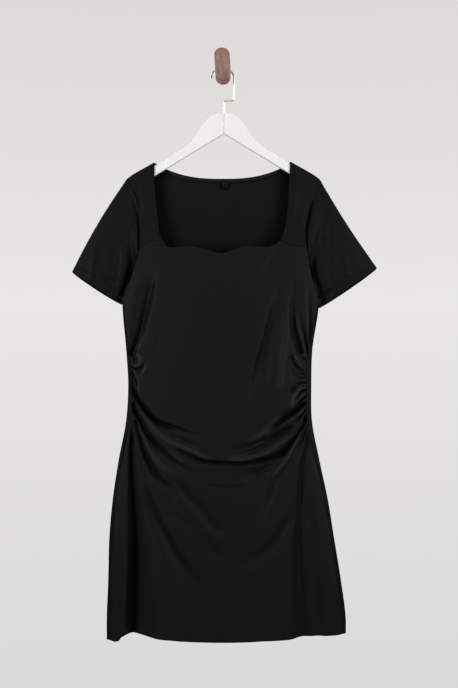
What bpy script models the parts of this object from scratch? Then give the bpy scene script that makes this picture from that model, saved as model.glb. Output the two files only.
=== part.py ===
"""An a-line mini dress in smooth black jersey, on a wooden hanger that hangs from a wall hook.

Sizes are in millimetres, and become metres where vertices are made. The origin is the middle of the wall
hook's back face. X runs to the viewer's right, the front of the dress faces -Y and Z is up.

The cloth is drawn by its middle surface. Front and back are two sides of one flattened tube, the body form,
so neighbouring panels share their seam lines, and each panel is a grid of points given its thickness by
Solidify. "Left" and "right" are the viewer's.
"""

import math
from collections import namedtuple

import bmesh
import bpy
import numpy as np
from mathutils import Matrix, Vector

MM = 0.001

# Driving dimensions
CLOTH = 1.2  # wall of every panel
TAPE = 0.8  # wall of the neck binding and the label
SEAM = 0.3  # each edge stands back this far from its seam line, and walls that bend keep about 0.3 between
ARMHOLE_SEAM = 0.55  # the sleeve stands back further, because it bends away from the body more
FOLD_SEAM, FOLD_SEAM_REACH = 0.4, 45.0  # more room where the side seam starts, on the tight side fold
UNDERARM_LIFT = 2.2  # at the underarm the sleeve starts beside the body's cloth, this far out
HANGER_Y = -24.0  # middle plane of hanger and wire
HANGER_THICK = 12.0
CLOTH_ON_HANGER = 8.2  # from the hanger's middle plane to the cloth that hangs over it
SHOULDER_ROUND = 6.0  # height over which the cloth rounds over a hanger arm

# The tube of the body at each height: its left and right outline, and how far its front, its side folds and
# its back stand from the wall. Above the underarm the outline runs on inside the sleeves.
Section = namedtuple("Section", "z left right front side back")
BODY = (
    Section(-1160, -232, 247, -66, -27, -7),
    Section(-1110, -232, 247, -65, -27, -7),
    Section(-1030, -229, 237, -62, -27, -7),
    Section(-950, -227, 224, -58, -27, -7),
    Section(-870, -220, 211, -55, -27, -8),
    Section(-790, -208, 194, -53, -26, -8),
    Section(-710, -193, 179, -53, -26, -8),
    Section(-640, -189, 178, -54, -26, -8),
    Section(-570, -193, 180, -55, -26, -8),
    Section(-490, -200, 192, -54, -26, -9),
    Section(-420, -202, 197, -50, -25, -9),
    Section(-360, -205, 203, -44, -24, -10),
    Section(-300, -210, 208, -39, -24, -12),
    Section(-240, -216, 216, -35, -24, -14),
    Section(-180, -222, 222, -33, -24, -15),
)
FRONT_ROUNDNESS = 1.4  # power of the cosine: 1 is an ellipse, 2 a lens
BACK_ROUNDNESS = 0.6

# The shoulder line, on which front and back meet over the hanger
SHOULDER_MIDDLE_X, SHOULDER_INNER, SHOULDER_TOP, SHOULDER_SLOPE = 1.0, 136.0, -192.6, 0.56
SHOULDER_BEND_FROM, SHOULDER_BEND = 175.0, 0.008

# The back neckline is a power curve between the shoulders
BACK_NECK_LOW, BACK_NECK_RISE, BACK_NECK_POWER = -225.2, 31.0, 2.6

# Armholes from the shoulder to the underarm: x on the front and on the back
Armhole = namedtuple("Armhole", "z front back")
ARMHOLE_LEFT = (
    Armhole(-239, -185, -187),
    Armhole(-284, -168, -173),
    Armhole(-322, -165, -170),
    Armhole(-366, -165, -170),
    Armhole(-406, -177, -180),
    Armhole(-440, -188, -190),
)
ARMHOLE_RIGHT = (
    Armhole(-244, 192, 193),
    Armhole(-281, 175, 180),
    Armhole(-322, 166, 172),
    Armhole(-364, 168, 173),
    Armhole(-408, 175, 179),
    Armhole(-442, 184, 188),
)
SHOULDER_X = {"left": -193.0, "right": 196.0}
UNDERARM = {"left": (-202.0, -467.0), "right": (194.5, -470.0)}  # on the side folds
STRAP_END_ROW = 3  # armhole row on which the strap seam ends

# Side seams, below the underarm: they lie a little in front of the side folds
Seam = namedtuple("Seam", "z left right")
SIDE_SEAM = (
    Seam(-500, -198, 188),
    Seam(-550, -191, 177),
    Seam(-590, -186, 170),
    Seam(-640, -183, 168),
    Seam(-700, -184, 168.5),
    Seam(-750, -194, 177),
    Seam(-830, -209, 197),
    Seam(-950, -222, 219),
    Seam(-1060, -226, 236),
)
SEAM_END = {"left": (-227.5, -1148.0), "right": (242.0, -1138.0)}

# Outlines in the plane of the front, (x, z)
NECK_X = {"left": -137.0, "right": 136.0}  # on the shoulder line
NECK_SIDE = {
    "left": ((-135, -250), (-129, -310), (-124.5, -340), (-119, -350.5)),
    "right": ((132, -262), (127.5, -311), (122, -336), (115, -352)),
}
STRAP_SEAM = {
    "left": ((-119, -350.5), (-142, -353.5), (-165, -366)),
    "right": ((115, -352), (138, -360), (168, -364)),
}
FRONT_NECK = (
    (-119, -350.5),
    (-116, -358),
    (-63, -363.5),
    (-33, -369),
    (-1, -378),
    (23, -369.5),
    (46, -363.5),
    (92, -363),
    (109, -357),
    (115, -352),
)
FRONT_HEM = (
    (-227.5, -1148),
    (-211, -1150),
    (-196, -1139),
    (-120, -1144),
    (0, -1147),
    (120, -1144),
    (242, -1138),
)
BACK_HEM = ((-227.5, -1148), (-150, -1141), (0, -1140), (150, -1140), (242, -1138))

# Sleeves: the upper and lower end of the hem, and how far the over-arm line bows out
Sleeve = namedtuple("Sleeve", "tip under bow recess")
SLEEVES = {
    "left": Sleeve((-301.0, -412.5), (-206.5, -479.5), 4.5, 9.0),
    "right": Sleeve((309.0, -405.5), (199.5, -485.5), -3.0, 7.0),
}
SLEEVE_HALF_DEPTH = 12.0

# The largest folds, along smooth lines through (x, z) points. Depth is towards the wall, so a ridge is
# negative, and it fades towards both ends by the shares start and end.
Fold = namedtuple("Fold", "depth width start end points")
FRONT_FOLDS = (
    Fold(6, 8, 0.3, 0.1, ((-138, -399), (-147, -431), (-161, -498), (-182, -576))),
    Fold(5, 12, 0.3, 0.4, ((122, -417), (108, -486), (85, -554), (68, -620), (71, -685))),
    Fold(-5, 11, 0.5, 0.3, ((118, -480), (120, -552), (122, -640))),
    Fold(6, 8, 0.4, 0.1, ((140, -437), (139, -486), (146, -525), (166, -570))),
    Fold(6, 12, 0.1, 0.6, ((-178, -655), (-158, -683), (-140, -703), (-110, -717), (-60, -735))),
    Fold(
        10,
        13,
        0.1,
        0.1,
        ((-178, -683), (-158, -709), (-124, -745), (-51, -778), (61, -794), (128, -765), (165, -719)),
    ),
    Fold(5, 12, 0.1, 0.5, ((-178, -725), (-150, -769), (-94, -798), (-50, -818))),
    Fold(5, 12, 0.4, 0.3, ((-45, -838), (9, -838), (94, -820), (128, -798), (160, -765))),
    Fold(6, 10, 0.3, 0.3, ((-94, -824), (-54, -867), (1, -935))),
    Fold(7, 11, 0.1, 0.3, ((-173, -715), (-157, -808), (-114, -935), (-31, -1053), (25, -1085))),
    Fold(5, 12, 0.3, 0.4, ((128, -776), (96, -828), (72, -927))),
    Fold(5, 13, 0.2, 0.4, ((168, -788), (160, -847), (136, -927), (49, -994))),
    Fold(19, 13, 0.4, 0.0, ((-184, -700), (-186, -791), (-181, -952), (-184, -1092), (-190, -1160))),
    Fold(-12, 12, 0.5, 0.0, ((-205, -860), (-210, -952), (-212, -1092), (-213, -1160))),
    Fold(10, 15, 0.3, 0.0, ((168, -720), (161, -770), (156, -910), (150, -1160))),
    Fold(-4, 14, 0.5, 0.0, ((205, -900), (214, -1000), (222, -1160))),
)
BACK_FOLDS = (
    Fold(-4, 10, 0.1, 0.6, ((-190, -640), (-140, -690), (-60, -715))),
    Fold(-4, 10, 0.1, 0.6, ((180, -650), (130, -705), (50, -730))),
    Fold(-5, 14, 0.4, 0.0, ((-130, -830), (-135, -960), (-140, -1160))),
    Fold(-4, 14, 0.4, 0.0, ((95, -860), (105, -980), (112, -1160))),
)
# Gathers that fan out from the ruched part of each side seam
Ruche = namedtuple("Ruche", "top bottom count depth width reach drop")
RUCHES = {
    "left": Ruche(-592, -660, 3, 3.5, 9.0, 30, -8),
    "right": Ruche(-580, -700, 4, 4.0, 9.0, 36, -18),
}

# Neck binding and label, on the inside of the back panel
BINDING_WIDTH, BINDING_HALF_SPAN = 7.0, 122.0
LABEL_MIDDLE, LABEL_SIZE = (5.0, -236.0), (12.0, 16.0)

# Hanger: one half's outline from the joint outwards, as dx from the joint and z
HANGER_X = 3.0
HANGER_JOINT_GAP = 0.4
ARM_OUTLINE = (
    (0, -93.1),
    (10, -94.2),
    (21, -97.5),
    (30, -103),
    (38, -111),
    (50.6, -131),
    (59, -143.5),
    (68, -153.6),
    (84, -165.3),
    (102.5, -177),
    (130.6, -195.6),
    (155, -209.4),
    (170, -217.6),
    (178, -223.5),
    (182.5, -229),
    (183.5, -236),
    (180.5, -243),
    (173, -241.5),
    (132, -216.5),
    (0, -136.3),
)
ARM_EDGE_ROUND = 3.0

# Wire hook
WIRE_RADIUS = 1.6
HOOK_RADIUS, HOOK_CENTRE_Z = 22.9, -25.4
HOOK_LEG_BOTTOM, HOOK_BEND, WIRE_FOOT = -69.6, 4.5, -93.2

# Wall hook
PILL_WIDTH, PILL_HEIGHT, PILL_THICK = 32.0, 65.0, 12.0
PILL_EDGE_ROUND = 3.5
PILL_TILT = math.radians(3.5)
KNOB_FRONT = -46.0
NECK_RADIUS = 9.0
NECK_TOP = HOOK_CENTRE_Z + HOOK_RADIUS - WIRE_RADIUS - 0.3
PIECE_GAP = 0.3

# Grids: cells across each panel, and the shares down each edge at which its rows start. Neighbouring panels
# share the rows of the edge between them, so their faceted edges follow each other.
STRAP_CELLS, FRONT_NECK_CELLS = 4, 20
BACK_NECK_SHARES = (0.0, 0.018, 0.05, 0.12, 0.22, 0.35, 0.5, 0.65, 0.78, 0.88, 0.95, 0.982, 1.0)
STRAP_ROWS = (0.0, 0.0018, 0.0073, 0.018, 0.036, 0.09, 0.19, 0.36, 0.57, 0.79, 1.0)
FRONT_HOLE_ROWS = (0.0, 0.2, 0.4, 0.6, 0.8, 1.0)
BACK_HOLE_ROWS = (0.0, 0.0011, 0.0045, 0.011, 0.022, 0.06, 0.14, 0.26, 0.40, 0.54, 0.68, 0.82, 0.92, 1.0)
SEAM_CELLS, SEAM_CROWDING = 28, 0.55
SLEEVE_ROWS = (0.0, 0.05, 0.13, 0.26, 0.45, 0.72, 1.0)


def smooth(at, known, values):
    """A cubic curve through (known, values), with slopes from the neighbours. known rises."""
    known, values = np.asarray(known, float), np.asarray(values, float)
    at = np.clip(at, known[0], known[-1])
    slopes = np.gradient(values, known)
    i = np.clip(np.searchsorted(known, at) - 1, 0, len(known) - 2)
    width = known[i + 1] - known[i]
    t = (at - known[i]) / width
    return (
        values[i] * (1 + 2 * t) * (1 - t) ** 2
        + values[i + 1] * t * t * (3 - 2 * t)
        + width * (slopes[i] * t * (1 - t) ** 2 - slopes[i + 1] * t * t * (1 - t))
    )


def ease(t):
    """0 up to t = 0, 1 from t = 1, smooth between."""
    t = np.clip(t, 0.0, 1.0)
    return t * t * (3 - 2 * t)


def reached(points):
    """Share of the line's length at each of its points."""
    steps = np.linalg.norm(np.diff(np.asarray(points, float), axis=0), axis=1)
    return np.concatenate([[0.0], np.cumsum(steps)]) / steps.sum()


def along(points, t):
    """The points of a smooth line through points, at the shares t of its length."""
    points = np.asarray(points, float)
    return np.stack([smooth(t, reached(points), column) for column in points.T], axis=-1)


def section(z):
    """Centre, half width, front, side and back of the body at the heights z."""
    heights, left, right, front, side, back = zip(*BODY)
    left, right = smooth(z, heights, left), smooth(z, heights, right)
    front, side, back = (smooth(z, heights, column) for column in (front, side, back))
    return (left + right) / 2, (right - left) / 2, front, side, back


def angle_at(x, z):
    """Where x lies across the body at height z: 0 in the middle, a quarter turn at the side folds."""
    centre, half, *_ = section(z)
    return np.arcsin(np.clip((x - centre) / half, -1, 1))


def shoulder_line(x):
    """Height of the ridge over the hanger arms."""
    out = np.abs(x - SHOULDER_MIDDLE_X)
    return (
        SHOULDER_TOP
        - SHOULDER_SLOPE * (out - SHOULDER_INNER)
        - SHOULDER_BEND * np.clip(out - SHOULDER_BEND_FROM, 0, None) ** 2
    )


def back_neckline(x):
    return BACK_NECK_LOW + BACK_NECK_RISE * np.abs(x / SHOULDER_INNER) ** BACK_NECK_POWER


def fold_depth(folds, x, z):
    """Sum of the folds' depths at (x, z)."""
    total = np.zeros(np.shape(x))
    for fold in folds:
        line = along(fold.points, np.linspace(0, 1, 33))
        gaps = np.hypot(x[..., None] - line[:, 0], z[..., None] - line[:, 1])
        nearest = gaps.argmin(axis=-1)
        share = nearest / (len(line) - 1)
        fade = np.ones(np.shape(x))
        if fold.start:
            fade = fade * ease(share / fold.start)
        if fold.end:
            fade = fade * ease((1 - share) / fold.end)
        total += fold.depth * fade * np.exp(-((gaps.min(axis=-1) / fold.width) ** 2))
    return total


def ruche_folds(side):
    """The gathers of one ruched seam, as folds that start on the seam and sink towards the middle."""
    ruche = RUCHES[side]
    outward = -1 if side == "left" else 1
    folds = []
    for height in np.linspace(ruche.top, ruche.bottom, ruche.count):
        seam_x = smooth(height, [s.z for s in SIDE_SEAM][::-1], [getattr(s, side) for s in SIDE_SEAM][::-1])
        inner = (seam_x - outward * ruche.reach, height + ruche.drop)
        folds.append(Fold(ruche.depth, ruche.width, 0.0, 0.8, ((seam_x, height), inner)))
    return tuple(folds)


ALL_FRONT_FOLDS = FRONT_FOLDS + ruche_folds("left") + ruche_folds("right")


def body(angle, z, facing):
    """Middle surface of the body's cloth. facing is 1 for angles counted from the middle of the front and -1
    from the middle of the back. Past a quarter turn the surface comes round to the other side."""
    angle, z = np.asarray(angle, float), np.asarray(z, float)
    centre, half, front, side, back = section(z)
    lean = np.cos(angle) * facing
    bulge = np.where(
        lean > 0,
        (front - side) * np.abs(lean) ** FRONT_ROUNDNESS,
        (back - side) * np.abs(lean) ** BACK_ROUNDNESS,
    )
    x, y = centre + half * np.sin(angle), side + bulge
    off = np.abs(y - HANGER_Y)
    over_hanger = HANGER_Y + np.where(y < HANGER_Y, -1, 1) * (
        off + CLOTH_ON_HANGER + np.sqrt((off - CLOTH_ON_HANGER) ** 2 + 4)
    ) / 2
    y = y + (over_hanger - y) * ease((z + 330) / 60)
    below = np.clip((shoulder_line(x) - z) / SHOULDER_ROUND, 0, 1)
    y = HANGER_Y + (y - HANGER_Y) * np.sqrt(1 - (1 - below) ** 2)
    folded = np.where(lean > 0, fold_depth(ALL_FRONT_FOLDS, x, z), fold_depth(BACK_FOLDS, x, z))
    return np.stack([x, y + folded * ease(np.abs(lean) / 0.3), z], axis=-1)


def coons(top, bottom, left, right, u, v):
    """Points of a four-sided patch between its edges, given at the shares u across and v down."""
    u, v = u[None, :, None], v[:, None, None]
    across = (1 - v) * top[None] + v * bottom[None]
    down = (1 - u) * left[:, None] + u * right[:, None]
    corners = (1 - v) * ((1 - u) * top[0] + u * top[-1]) + v * ((1 - u) * bottom[0] + u * bottom[-1])
    return across + down - corners


def to_angles(points):
    """(x, z) points as (angle, z)."""
    return np.stack([angle_at(points[:, 0], points[:, 1]), points[:, 1]], axis=-1)


def drawn_in(grid, left=0.0, right=0.0, top=0.0, bottom=0.0):
    """The grid with its edges moved along the cloth, away from the seams."""
    grid = grid.copy()
    for by, edge, inner in (
        (left, grid[:, 0], grid[:, 1]),
        (right, grid[:, -1], grid[:, -2]),
        (top, grid[0], grid[1]),
        (bottom, grid[-1], grid[-2]),
    ):
        step = inner - edge
        edge += step * (np.broadcast_to(by, len(step)) / np.linalg.norm(step, axis=-1))[:, None]
    return grid


def shoulder_point(side):
    x = SHOULDER_X[side]
    return (x, float(shoulder_line(x)))


def armhole(side):
    return ARMHOLE_LEFT if side == "left" else ARMHOLE_RIGHT


def front_armhole(side):
    """(x, z) down the front of the armhole: the strap's rows, and then the front panel's."""
    line = [shoulder_point(side), *((row.front, row.z) for row in armhole(side)), UNDERARM[side]]
    strap_end = reached(line)[STRAP_END_ROW + 1]
    strap = along(line, np.asarray(STRAP_ROWS) * strap_end)
    panel = along(line, strap_end + np.asarray(FRONT_HOLE_ROWS) * (1 - strap_end))
    return strap, panel


def back_armhole(side):
    """(angle, z) down the back of the armhole, to the underarm on the side fold."""
    outward = -1 if side == "left" else 1
    under_z = UNDERARM[side][1]
    hole = [shoulder_point(side), *((row.back, row.z) for row in armhole(side))]
    hole = [(float(angle_at(x, z)), z) for x, z in hole]
    hole.append((outward * math.pi / 2, under_z))
    depth = 100  # an angle's worth in length, so that the shares follow the cloth
    return along([(angle * depth, z) for angle, z in hole], np.asarray(BACK_HOLE_ROWS)) / (depth, 1)


def side_seam(side):
    """(x, z) down the side seam, with rows closer together over the gathers."""
    t = np.linspace(0, 1, SEAM_CELLS + 1)
    shares = t - SEAM_CROWDING * np.sin(2 * math.pi * (t - 0.42)) / (2 * math.pi)
    shares = (shares - shares[0]) / (shares[-1] - shares[0])
    middle = [(getattr(row, side), row.z) for row in SIDE_SEAM]
    return along([UNDERARM[side], *middle, SEAM_END[side]], shares)


def seam_room(edge):
    """How far each row's edge stands back from the side seam."""
    return SEAM + FOLD_SEAM * np.exp(-(((edge[:, 1] - UNDERARM["left"][1]) / FOLD_SEAM_REACH) ** 2))


def rows_of(left, right):
    """Shares down a panel for its rows, from both its edges."""
    return (reached(left) + reached(right)) / 2


def front_grid():
    left = np.concatenate([front_armhole("left")[1], side_seam("left")[1:]])
    right = np.concatenate([front_armhole("right")[1], side_seam("right")[1:]])
    seam_shares = np.linspace(0, 1, STRAP_CELLS + 1)
    left_seam, right_seam = (along(STRAP_SEAM[side], seam_shares) for side in ("left", "right"))
    neck = along(FRONT_NECK, np.linspace(0, 1, FRONT_NECK_CELLS + 1))
    top = np.concatenate([left_seam[::-1], neck[1:-1], right_seam])
    u = reached(top)
    edges = [to_angles(points) for points in (top, along(FRONT_HEM, u), left, right)]
    flat = coons(*edges, u, rows_of(left, right))
    return drawn_in(body(flat[..., 0], flat[..., 1], 1), seam_room(left), seam_room(right), SEAM)


def back_edge(side):
    """(angle, z) down the back panel's side edge, which comes round to the side seam in front."""
    outward = -1 if side == "left" else 1
    seam = side_seam(side)[1:]
    round_side = np.stack([outward * math.pi - angle_at(seam[:, 0], seam[:, 1]), seam[:, 1]], axis=-1)
    return np.concatenate([back_armhole(side), round_side])


def shoulder_seam(side, shares):
    """(x, z) along the shoulder seam, from the neck to the armhole."""
    x = NECK_X[side] + (SHOULDER_X[side] - NECK_X[side]) * shares
    return np.stack([x, shoulder_line(x)], axis=-1)


def back_grid():
    seam_shares = np.linspace(0, 1, STRAP_CELLS + 1)
    left_seam, right_seam = (shoulder_seam(side, seam_shares) for side in ("left", "right"))
    neck_x = left_seam[0, 0] + (right_seam[0, 0] - left_seam[0, 0]) * np.asarray(BACK_NECK_SHARES[1:-1])
    neck = np.stack([neck_x, back_neckline(neck_x)], axis=-1)
    top = np.concatenate([left_seam[::-1], neck, right_seam])
    u = reached(top)
    left, right = back_edge("left"), back_edge("right")
    hem_x, hem_z = np.asarray(BACK_HEM).T
    angles = left[-1, 0] + (right[-1, 0] - left[-1, 0]) * u
    bottom = np.stack([angles, smooth(hem_x[-1] * np.sin(angles), hem_x, hem_z)], axis=-1)
    bottom[0], bottom[-1] = left[-1], right[-1]
    v = rows_of(left * (100, 1), right * (100, 1))
    flat = coons(to_angles(top), bottom, left, right, u, v)
    return drawn_in(body(flat[..., 0], flat[..., 1], -1), seam_room(left), seam_room(right), SEAM)


def strap_grid(side):
    """Columns run from the neck to the armhole, and rows from the shoulder to the strap seam."""
    u, v = np.linspace(0, 1, STRAP_CELLS + 1), np.asarray(STRAP_ROWS)
    neck = along([(NECK_X[side], shoulder_line(NECK_X[side])), *NECK_SIDE[side]], v)
    hole = front_armhole(side)[0]
    lines = (shoulder_seam(side, u), along(STRAP_SEAM[side], u), neck, hole)
    edges = [to_angles(points) for points in lines]
    flat = coons(*edges, u, v)
    grid = drawn_in(body(flat[..., 0], flat[..., 1], 1), right=SEAM, top=SEAM, bottom=SEAM)
    return grid if side == "right" else grid[:, ::-1]


def armhole_ring(side):
    """Points round the armhole, from the underarm up the front to the shoulder and down the back, and how
    far each is round: half a turn at the shoulder."""
    strap, panel = front_armhole(side)
    front = np.concatenate([strap, panel[1:]])[::-1]
    back = back_armhole(side)
    turns = [reached(front), 1 + reached(back * (100, 1))[1:-1]]
    front, back = to_angles(front), back[1:-1]
    ring = [body(front[:, 0], front[:, 1], 1), body(back[:, 0], back[:, 1], -1)]
    return np.concatenate(ring), math.pi * np.concatenate(turns)


def sleeve_grid(side):
    """A tube from the armhole to the sleeve hem. Columns run round it and aren't repeated at the end."""
    sleeve = SLEEVES[side]
    start, turn = armhole_ring(side)
    up = (1 - np.cos(turn)) / 2
    tip, under = np.asarray(sleeve.tip), np.asarray(sleeve.under)
    y = HANGER_Y - SLEEVE_HALF_DEPTH * np.sign(np.sin(turn)) * np.abs(np.sin(turn)) ** 0.8
    end = np.stack([under[0] + (tip[0] - under[0]) * up, y, under[1] + (tip[1] - under[1]) * up], axis=-1)
    t = np.asarray(SLEEVE_ROWS)[:, None]
    grid = start[None] + (end - start)[None] * t[..., None]
    outward = -1 if side == "left" else 1
    over_arm = np.exp(-(((up - 1) / 0.5) ** 2)) * np.sin(math.pi * t) * sleeve.bow
    grid[..., 0] += outward * over_arm * 0.86
    grid[..., 2] += over_arm * 0.5
    low_front = np.exp(-(((turn - 0.3 * math.pi) / (0.22 * math.pi)) ** 2))
    valley = np.exp(-(((t - 0.14) / 0.12) ** 2)) * (1 - np.exp(-((t / 0.04) ** 2)))
    grid[..., 1] += sleeve.recess * low_front * valley
    near_underarm = np.exp(-((np.sin(turn / 2) / 0.26) ** 2))
    grid[..., 0] += outward * UNDERARM_LIFT * near_underarm * (1 - t)
    return drawn_in(grid, top=ARMHOLE_SEAM)


def inside_back(flat, out):
    """Points over the inside of the back panel at (x, z), moved towards the front by out."""
    angles = angle_at(flat[..., 0], flat[..., 1])
    return body(angles, flat[..., 1], -1) - (0, out, 0)


def binding_grid():
    x = np.linspace(-BINDING_HALF_SPAN, BINDING_HALF_SPAN, 25)
    edge = np.stack([x, back_neckline(x)], axis=-1)
    slope = np.gradient(edge[:, 1], x)
    down = np.stack([slope, -np.ones_like(x)], axis=-1) / np.hypot(slope, 1)[:, None]
    flat = np.stack([edge + down * offset for offset in (0.5, BINDING_WIDTH + 0.5)])
    return inside_back(flat, CLOTH / 2 + PIECE_GAP + TAPE / 2)


def label_grid():
    (x, z), (width, height) = LABEL_MIDDLE, LABEL_SIZE
    across = np.linspace(x - width / 2, x + width / 2, 3)
    down = np.linspace(z + height / 2, z - height / 2, 3)
    flat = np.stack(np.meshgrid(across, down), axis=-1)
    return inside_back(flat, CLOTH / 2 + PIECE_GAP + TAPE + PIECE_GAP + TAPE / 2)


def material(name, colour, roughness, metallic=0.0, sheen=0.0):
    made = bpy.data.materials.new(name)
    made.use_nodes = True
    shader = made.node_tree.nodes["Principled BSDF"]
    shader.inputs["Base Color"].default_value = (*colour, 1.0)
    shader.inputs["Roughness"].default_value = roughness
    shader.inputs["Metallic"].default_value = metallic
    shader.inputs["Sheen Weight"].default_value = sheen
    return made


def finished(name, mesh, look):
    """An object of the dress's collection with this mesh, shaded smooth but for its sharp edges."""
    mesh.materials.append(look)
    mesh.shade_smooth()
    mesh.set_sharp_from_angle(angle=math.radians(40))
    made = bpy.data.objects.new(name, mesh)
    bpy.data.collections["A-line mini dress"].objects.link(made)
    return made


def cloth(name, grid, look, thickness=CLOTH, closed=False):
    """A panel: the grid of points as quads, made a wall by Solidify. A closed grid is a tube."""
    bm = bmesh.new()
    rows = [[bm.verts.new(Vector(point) * MM) for point in row] for row in grid]
    for upper, lower in zip(rows, rows[1:]):
        if closed:
            upper, lower = [*upper, upper[0]], [*lower, lower[0]]
        for corners in zip(upper, upper[1:], lower[1:], lower):
            bm.faces.new(corners)
    bmesh.ops.recalc_face_normals(bm, faces=bm.faces)
    mesh = bpy.data.meshes.new(name)
    bm.to_mesh(mesh)
    bm.free()
    panel = finished(name, mesh, look)
    wall = panel.modifiers.new("Wall", "SOLIDIFY")
    wall.thickness = thickness * MM
    wall.offset = 0.0
    return panel


def slab(name, outline, low_y, thick, edge_round, look):
    """A flat piece: an outline of (x, z) points, extruded along Y, with its rims rounded by Bevel."""
    bm = bmesh.new()
    face = bm.faces.new([bm.verts.new((x * MM, low_y * MM, z * MM)) for x, z in outline])
    moved = bmesh.ops.extrude_face_region(bm, geom=[face])["geom"]
    corners = [item for item in moved if isinstance(item, bmesh.types.BMVert)]
    bmesh.ops.translate(bm, verts=corners, vec=(0, thick * MM, 0))
    bmesh.ops.recalc_face_normals(bm, faces=bm.faces)
    mesh = bpy.data.meshes.new(name)
    bm.to_mesh(mesh)
    bm.free()
    piece = finished(name, mesh, look)
    rim = piece.modifiers.new("Rounded rim", "BEVEL")
    rim.width = edge_round * MM
    rim.segments = 3
    rim.limit_method = "ANGLE"
    rim.angle_limit = math.radians(50)
    return piece


def make_cloth():
    jersey = material("Black jersey front", (0.010, 0.010, 0.011), 0.55, sheen=0.2)
    cloth("front_panel", front_grid(), jersey)
    jersey_back = material("Black jersey back", (0.010, 0.010, 0.011), 0.55, sheen=0.2)
    cloth("back_panel", back_grid(), jersey_back)
    for side in ("left", "right"):
        strap = material(f"Black jersey strap {side}", (0.010, 0.010, 0.011), 0.55, sheen=0.2)
        cloth(f"front_strap_{side}", strap_grid(side), strap)
        sleeve = material(f"Black jersey sleeve {side}", (0.010, 0.010, 0.011), 0.55, sheen=0.2)
        cloth(f"sleeve_{side}", sleeve_grid(side), sleeve, closed=True)
    tape = material("Black neck tape", (0.012, 0.012, 0.013), 0.6)
    cloth("neck_binding", binding_grid(), tape, TAPE)
    label = material("Blank black label", (0.008, 0.008, 0.008), 0.45)
    cloth("neck_label", label_grid(), label, TAPE)


def make_hanger():
    for side, outward in (("left", -1), ("right", 1)):
        paint = material(f"White painted wood {side}", (0.80, 0.78, 0.77), 0.4)
        outline = [(HANGER_X + outward * (dx + HANGER_JOINT_GAP / 2), z) for dx, z in ARM_OUTLINE]
        slab(f"hanger_arm_{side}", outline, HANGER_Y - HANGER_THICK / 2, HANGER_THICK, ARM_EDGE_ROUND, paint)


def arc(centre, radius, start, end, steps):
    """Points of an arc in the plane of the hanger, from angle start to end in degrees."""
    turns = np.radians(np.linspace(start, end, steps + 1))
    return [(centre[0] + radius * math.cos(t), centre[1] + radius * math.sin(t)) for t in turns]


def make_wire():
    """The hook: an arc over the wall hook's neck, a leg, a jog to the middle and a stem into the hanger."""
    right, jog = HOOK_RADIUS, HOOK_LEG_BOTTOM
    route = arc((0, HOOK_CENTRE_Z), HOOK_RADIUS, 180, 0, 20)
    route += arc((right - HOOK_BEND, jog + HOOK_BEND), HOOK_BEND, 0, -90, 5)
    route += arc((HANGER_X + HOOK_BEND, jog - HOOK_BEND), HOOK_BEND, 90, 180, 5)
    route.append((HANGER_X, WIRE_FOOT))
    curve = bpy.data.curves.new("hanger_hook", "CURVE")
    curve.dimensions = "3D"
    curve.bevel_depth = WIRE_RADIUS * MM
    curve.bevel_resolution = 2
    curve.use_fill_caps = True
    line = curve.splines.new("POLY")
    line.points.add(len(route) - 1)
    for point, (x, z) in zip(line.points, route):
        point.co = (x * MM, HANGER_Y * MM, z * MM, 1)
    curve.materials.append(material("Pale gold wire", (0.60, 0.52, 0.38), 0.3, metallic=1.0))
    hook = bpy.data.objects.new("hanger_hook", curve)
    bpy.data.collections["A-line mini dress"].objects.link(hook)


def pill(tilt):
    """Outline of a rounded bar, turned by tilt."""
    radius, straight = PILL_WIDTH / 2, (PILL_HEIGHT - PILL_WIDTH) / 2
    points = arc((0, straight), radius, 0, 180, 12) + arc((0, -straight), radius, 180, 360, 12)
    turn = Matrix.Rotation(tilt, 2)
    return [tuple(turn @ Vector(point)) for point in points]


def make_wall_hook():
    plate = material("Brown wood plate", (0.24, 0.135, 0.10), 0.5)
    slab("wall_hook_plate", pill(PILL_TILT), -PILL_THICK, PILL_THICK, PILL_EDGE_ROUND, plate)
    knob = material("Brown wood knob", (0.24, 0.135, 0.10), 0.5)
    slab("wall_hook_knob", pill(PILL_TILT), KNOB_FRONT, PILL_THICK, PILL_EDGE_ROUND, knob)
    near, far = KNOB_FRONT + PILL_THICK + PIECE_GAP, -PILL_THICK - PIECE_GAP
    bm = bmesh.new()
    bmesh.ops.create_cone(
        bm,
        cap_ends=True,
        segments=32,
        radius1=NECK_RADIUS * MM,
        radius2=NECK_RADIUS * MM,
        depth=(far - near) * MM,
        matrix=Matrix.Rotation(math.pi / 2, 4, "X"),
    )
    mesh = bpy.data.meshes.new("wall_hook_neck")
    bm.to_mesh(mesh)
    bm.free()
    neck = finished("wall_hook_neck", mesh, material("Brown wood neck", (0.24, 0.135, 0.10), 0.5))
    neck.location = (0, (near + far) / 2 * MM, (NECK_TOP - NECK_RADIUS) * MM)


def main():
    for old in list(bpy.data.objects):
        bpy.data.objects.remove(old, do_unlink=True)
    bpy.context.scene.collection.children.link(bpy.data.collections.new("A-line mini dress"))
    make_cloth()
    make_hanger()
    make_wire()
    make_wall_hook()


main()
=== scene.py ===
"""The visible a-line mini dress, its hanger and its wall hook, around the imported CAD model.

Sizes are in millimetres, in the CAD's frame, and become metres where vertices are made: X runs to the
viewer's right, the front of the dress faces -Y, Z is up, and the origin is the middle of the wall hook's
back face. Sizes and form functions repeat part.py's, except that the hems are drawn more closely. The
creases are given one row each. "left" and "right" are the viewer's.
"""

import math
from collections import namedtuple

import bmesh
import bpy
import numpy as np
from mathutils import Matrix, Vector


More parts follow.
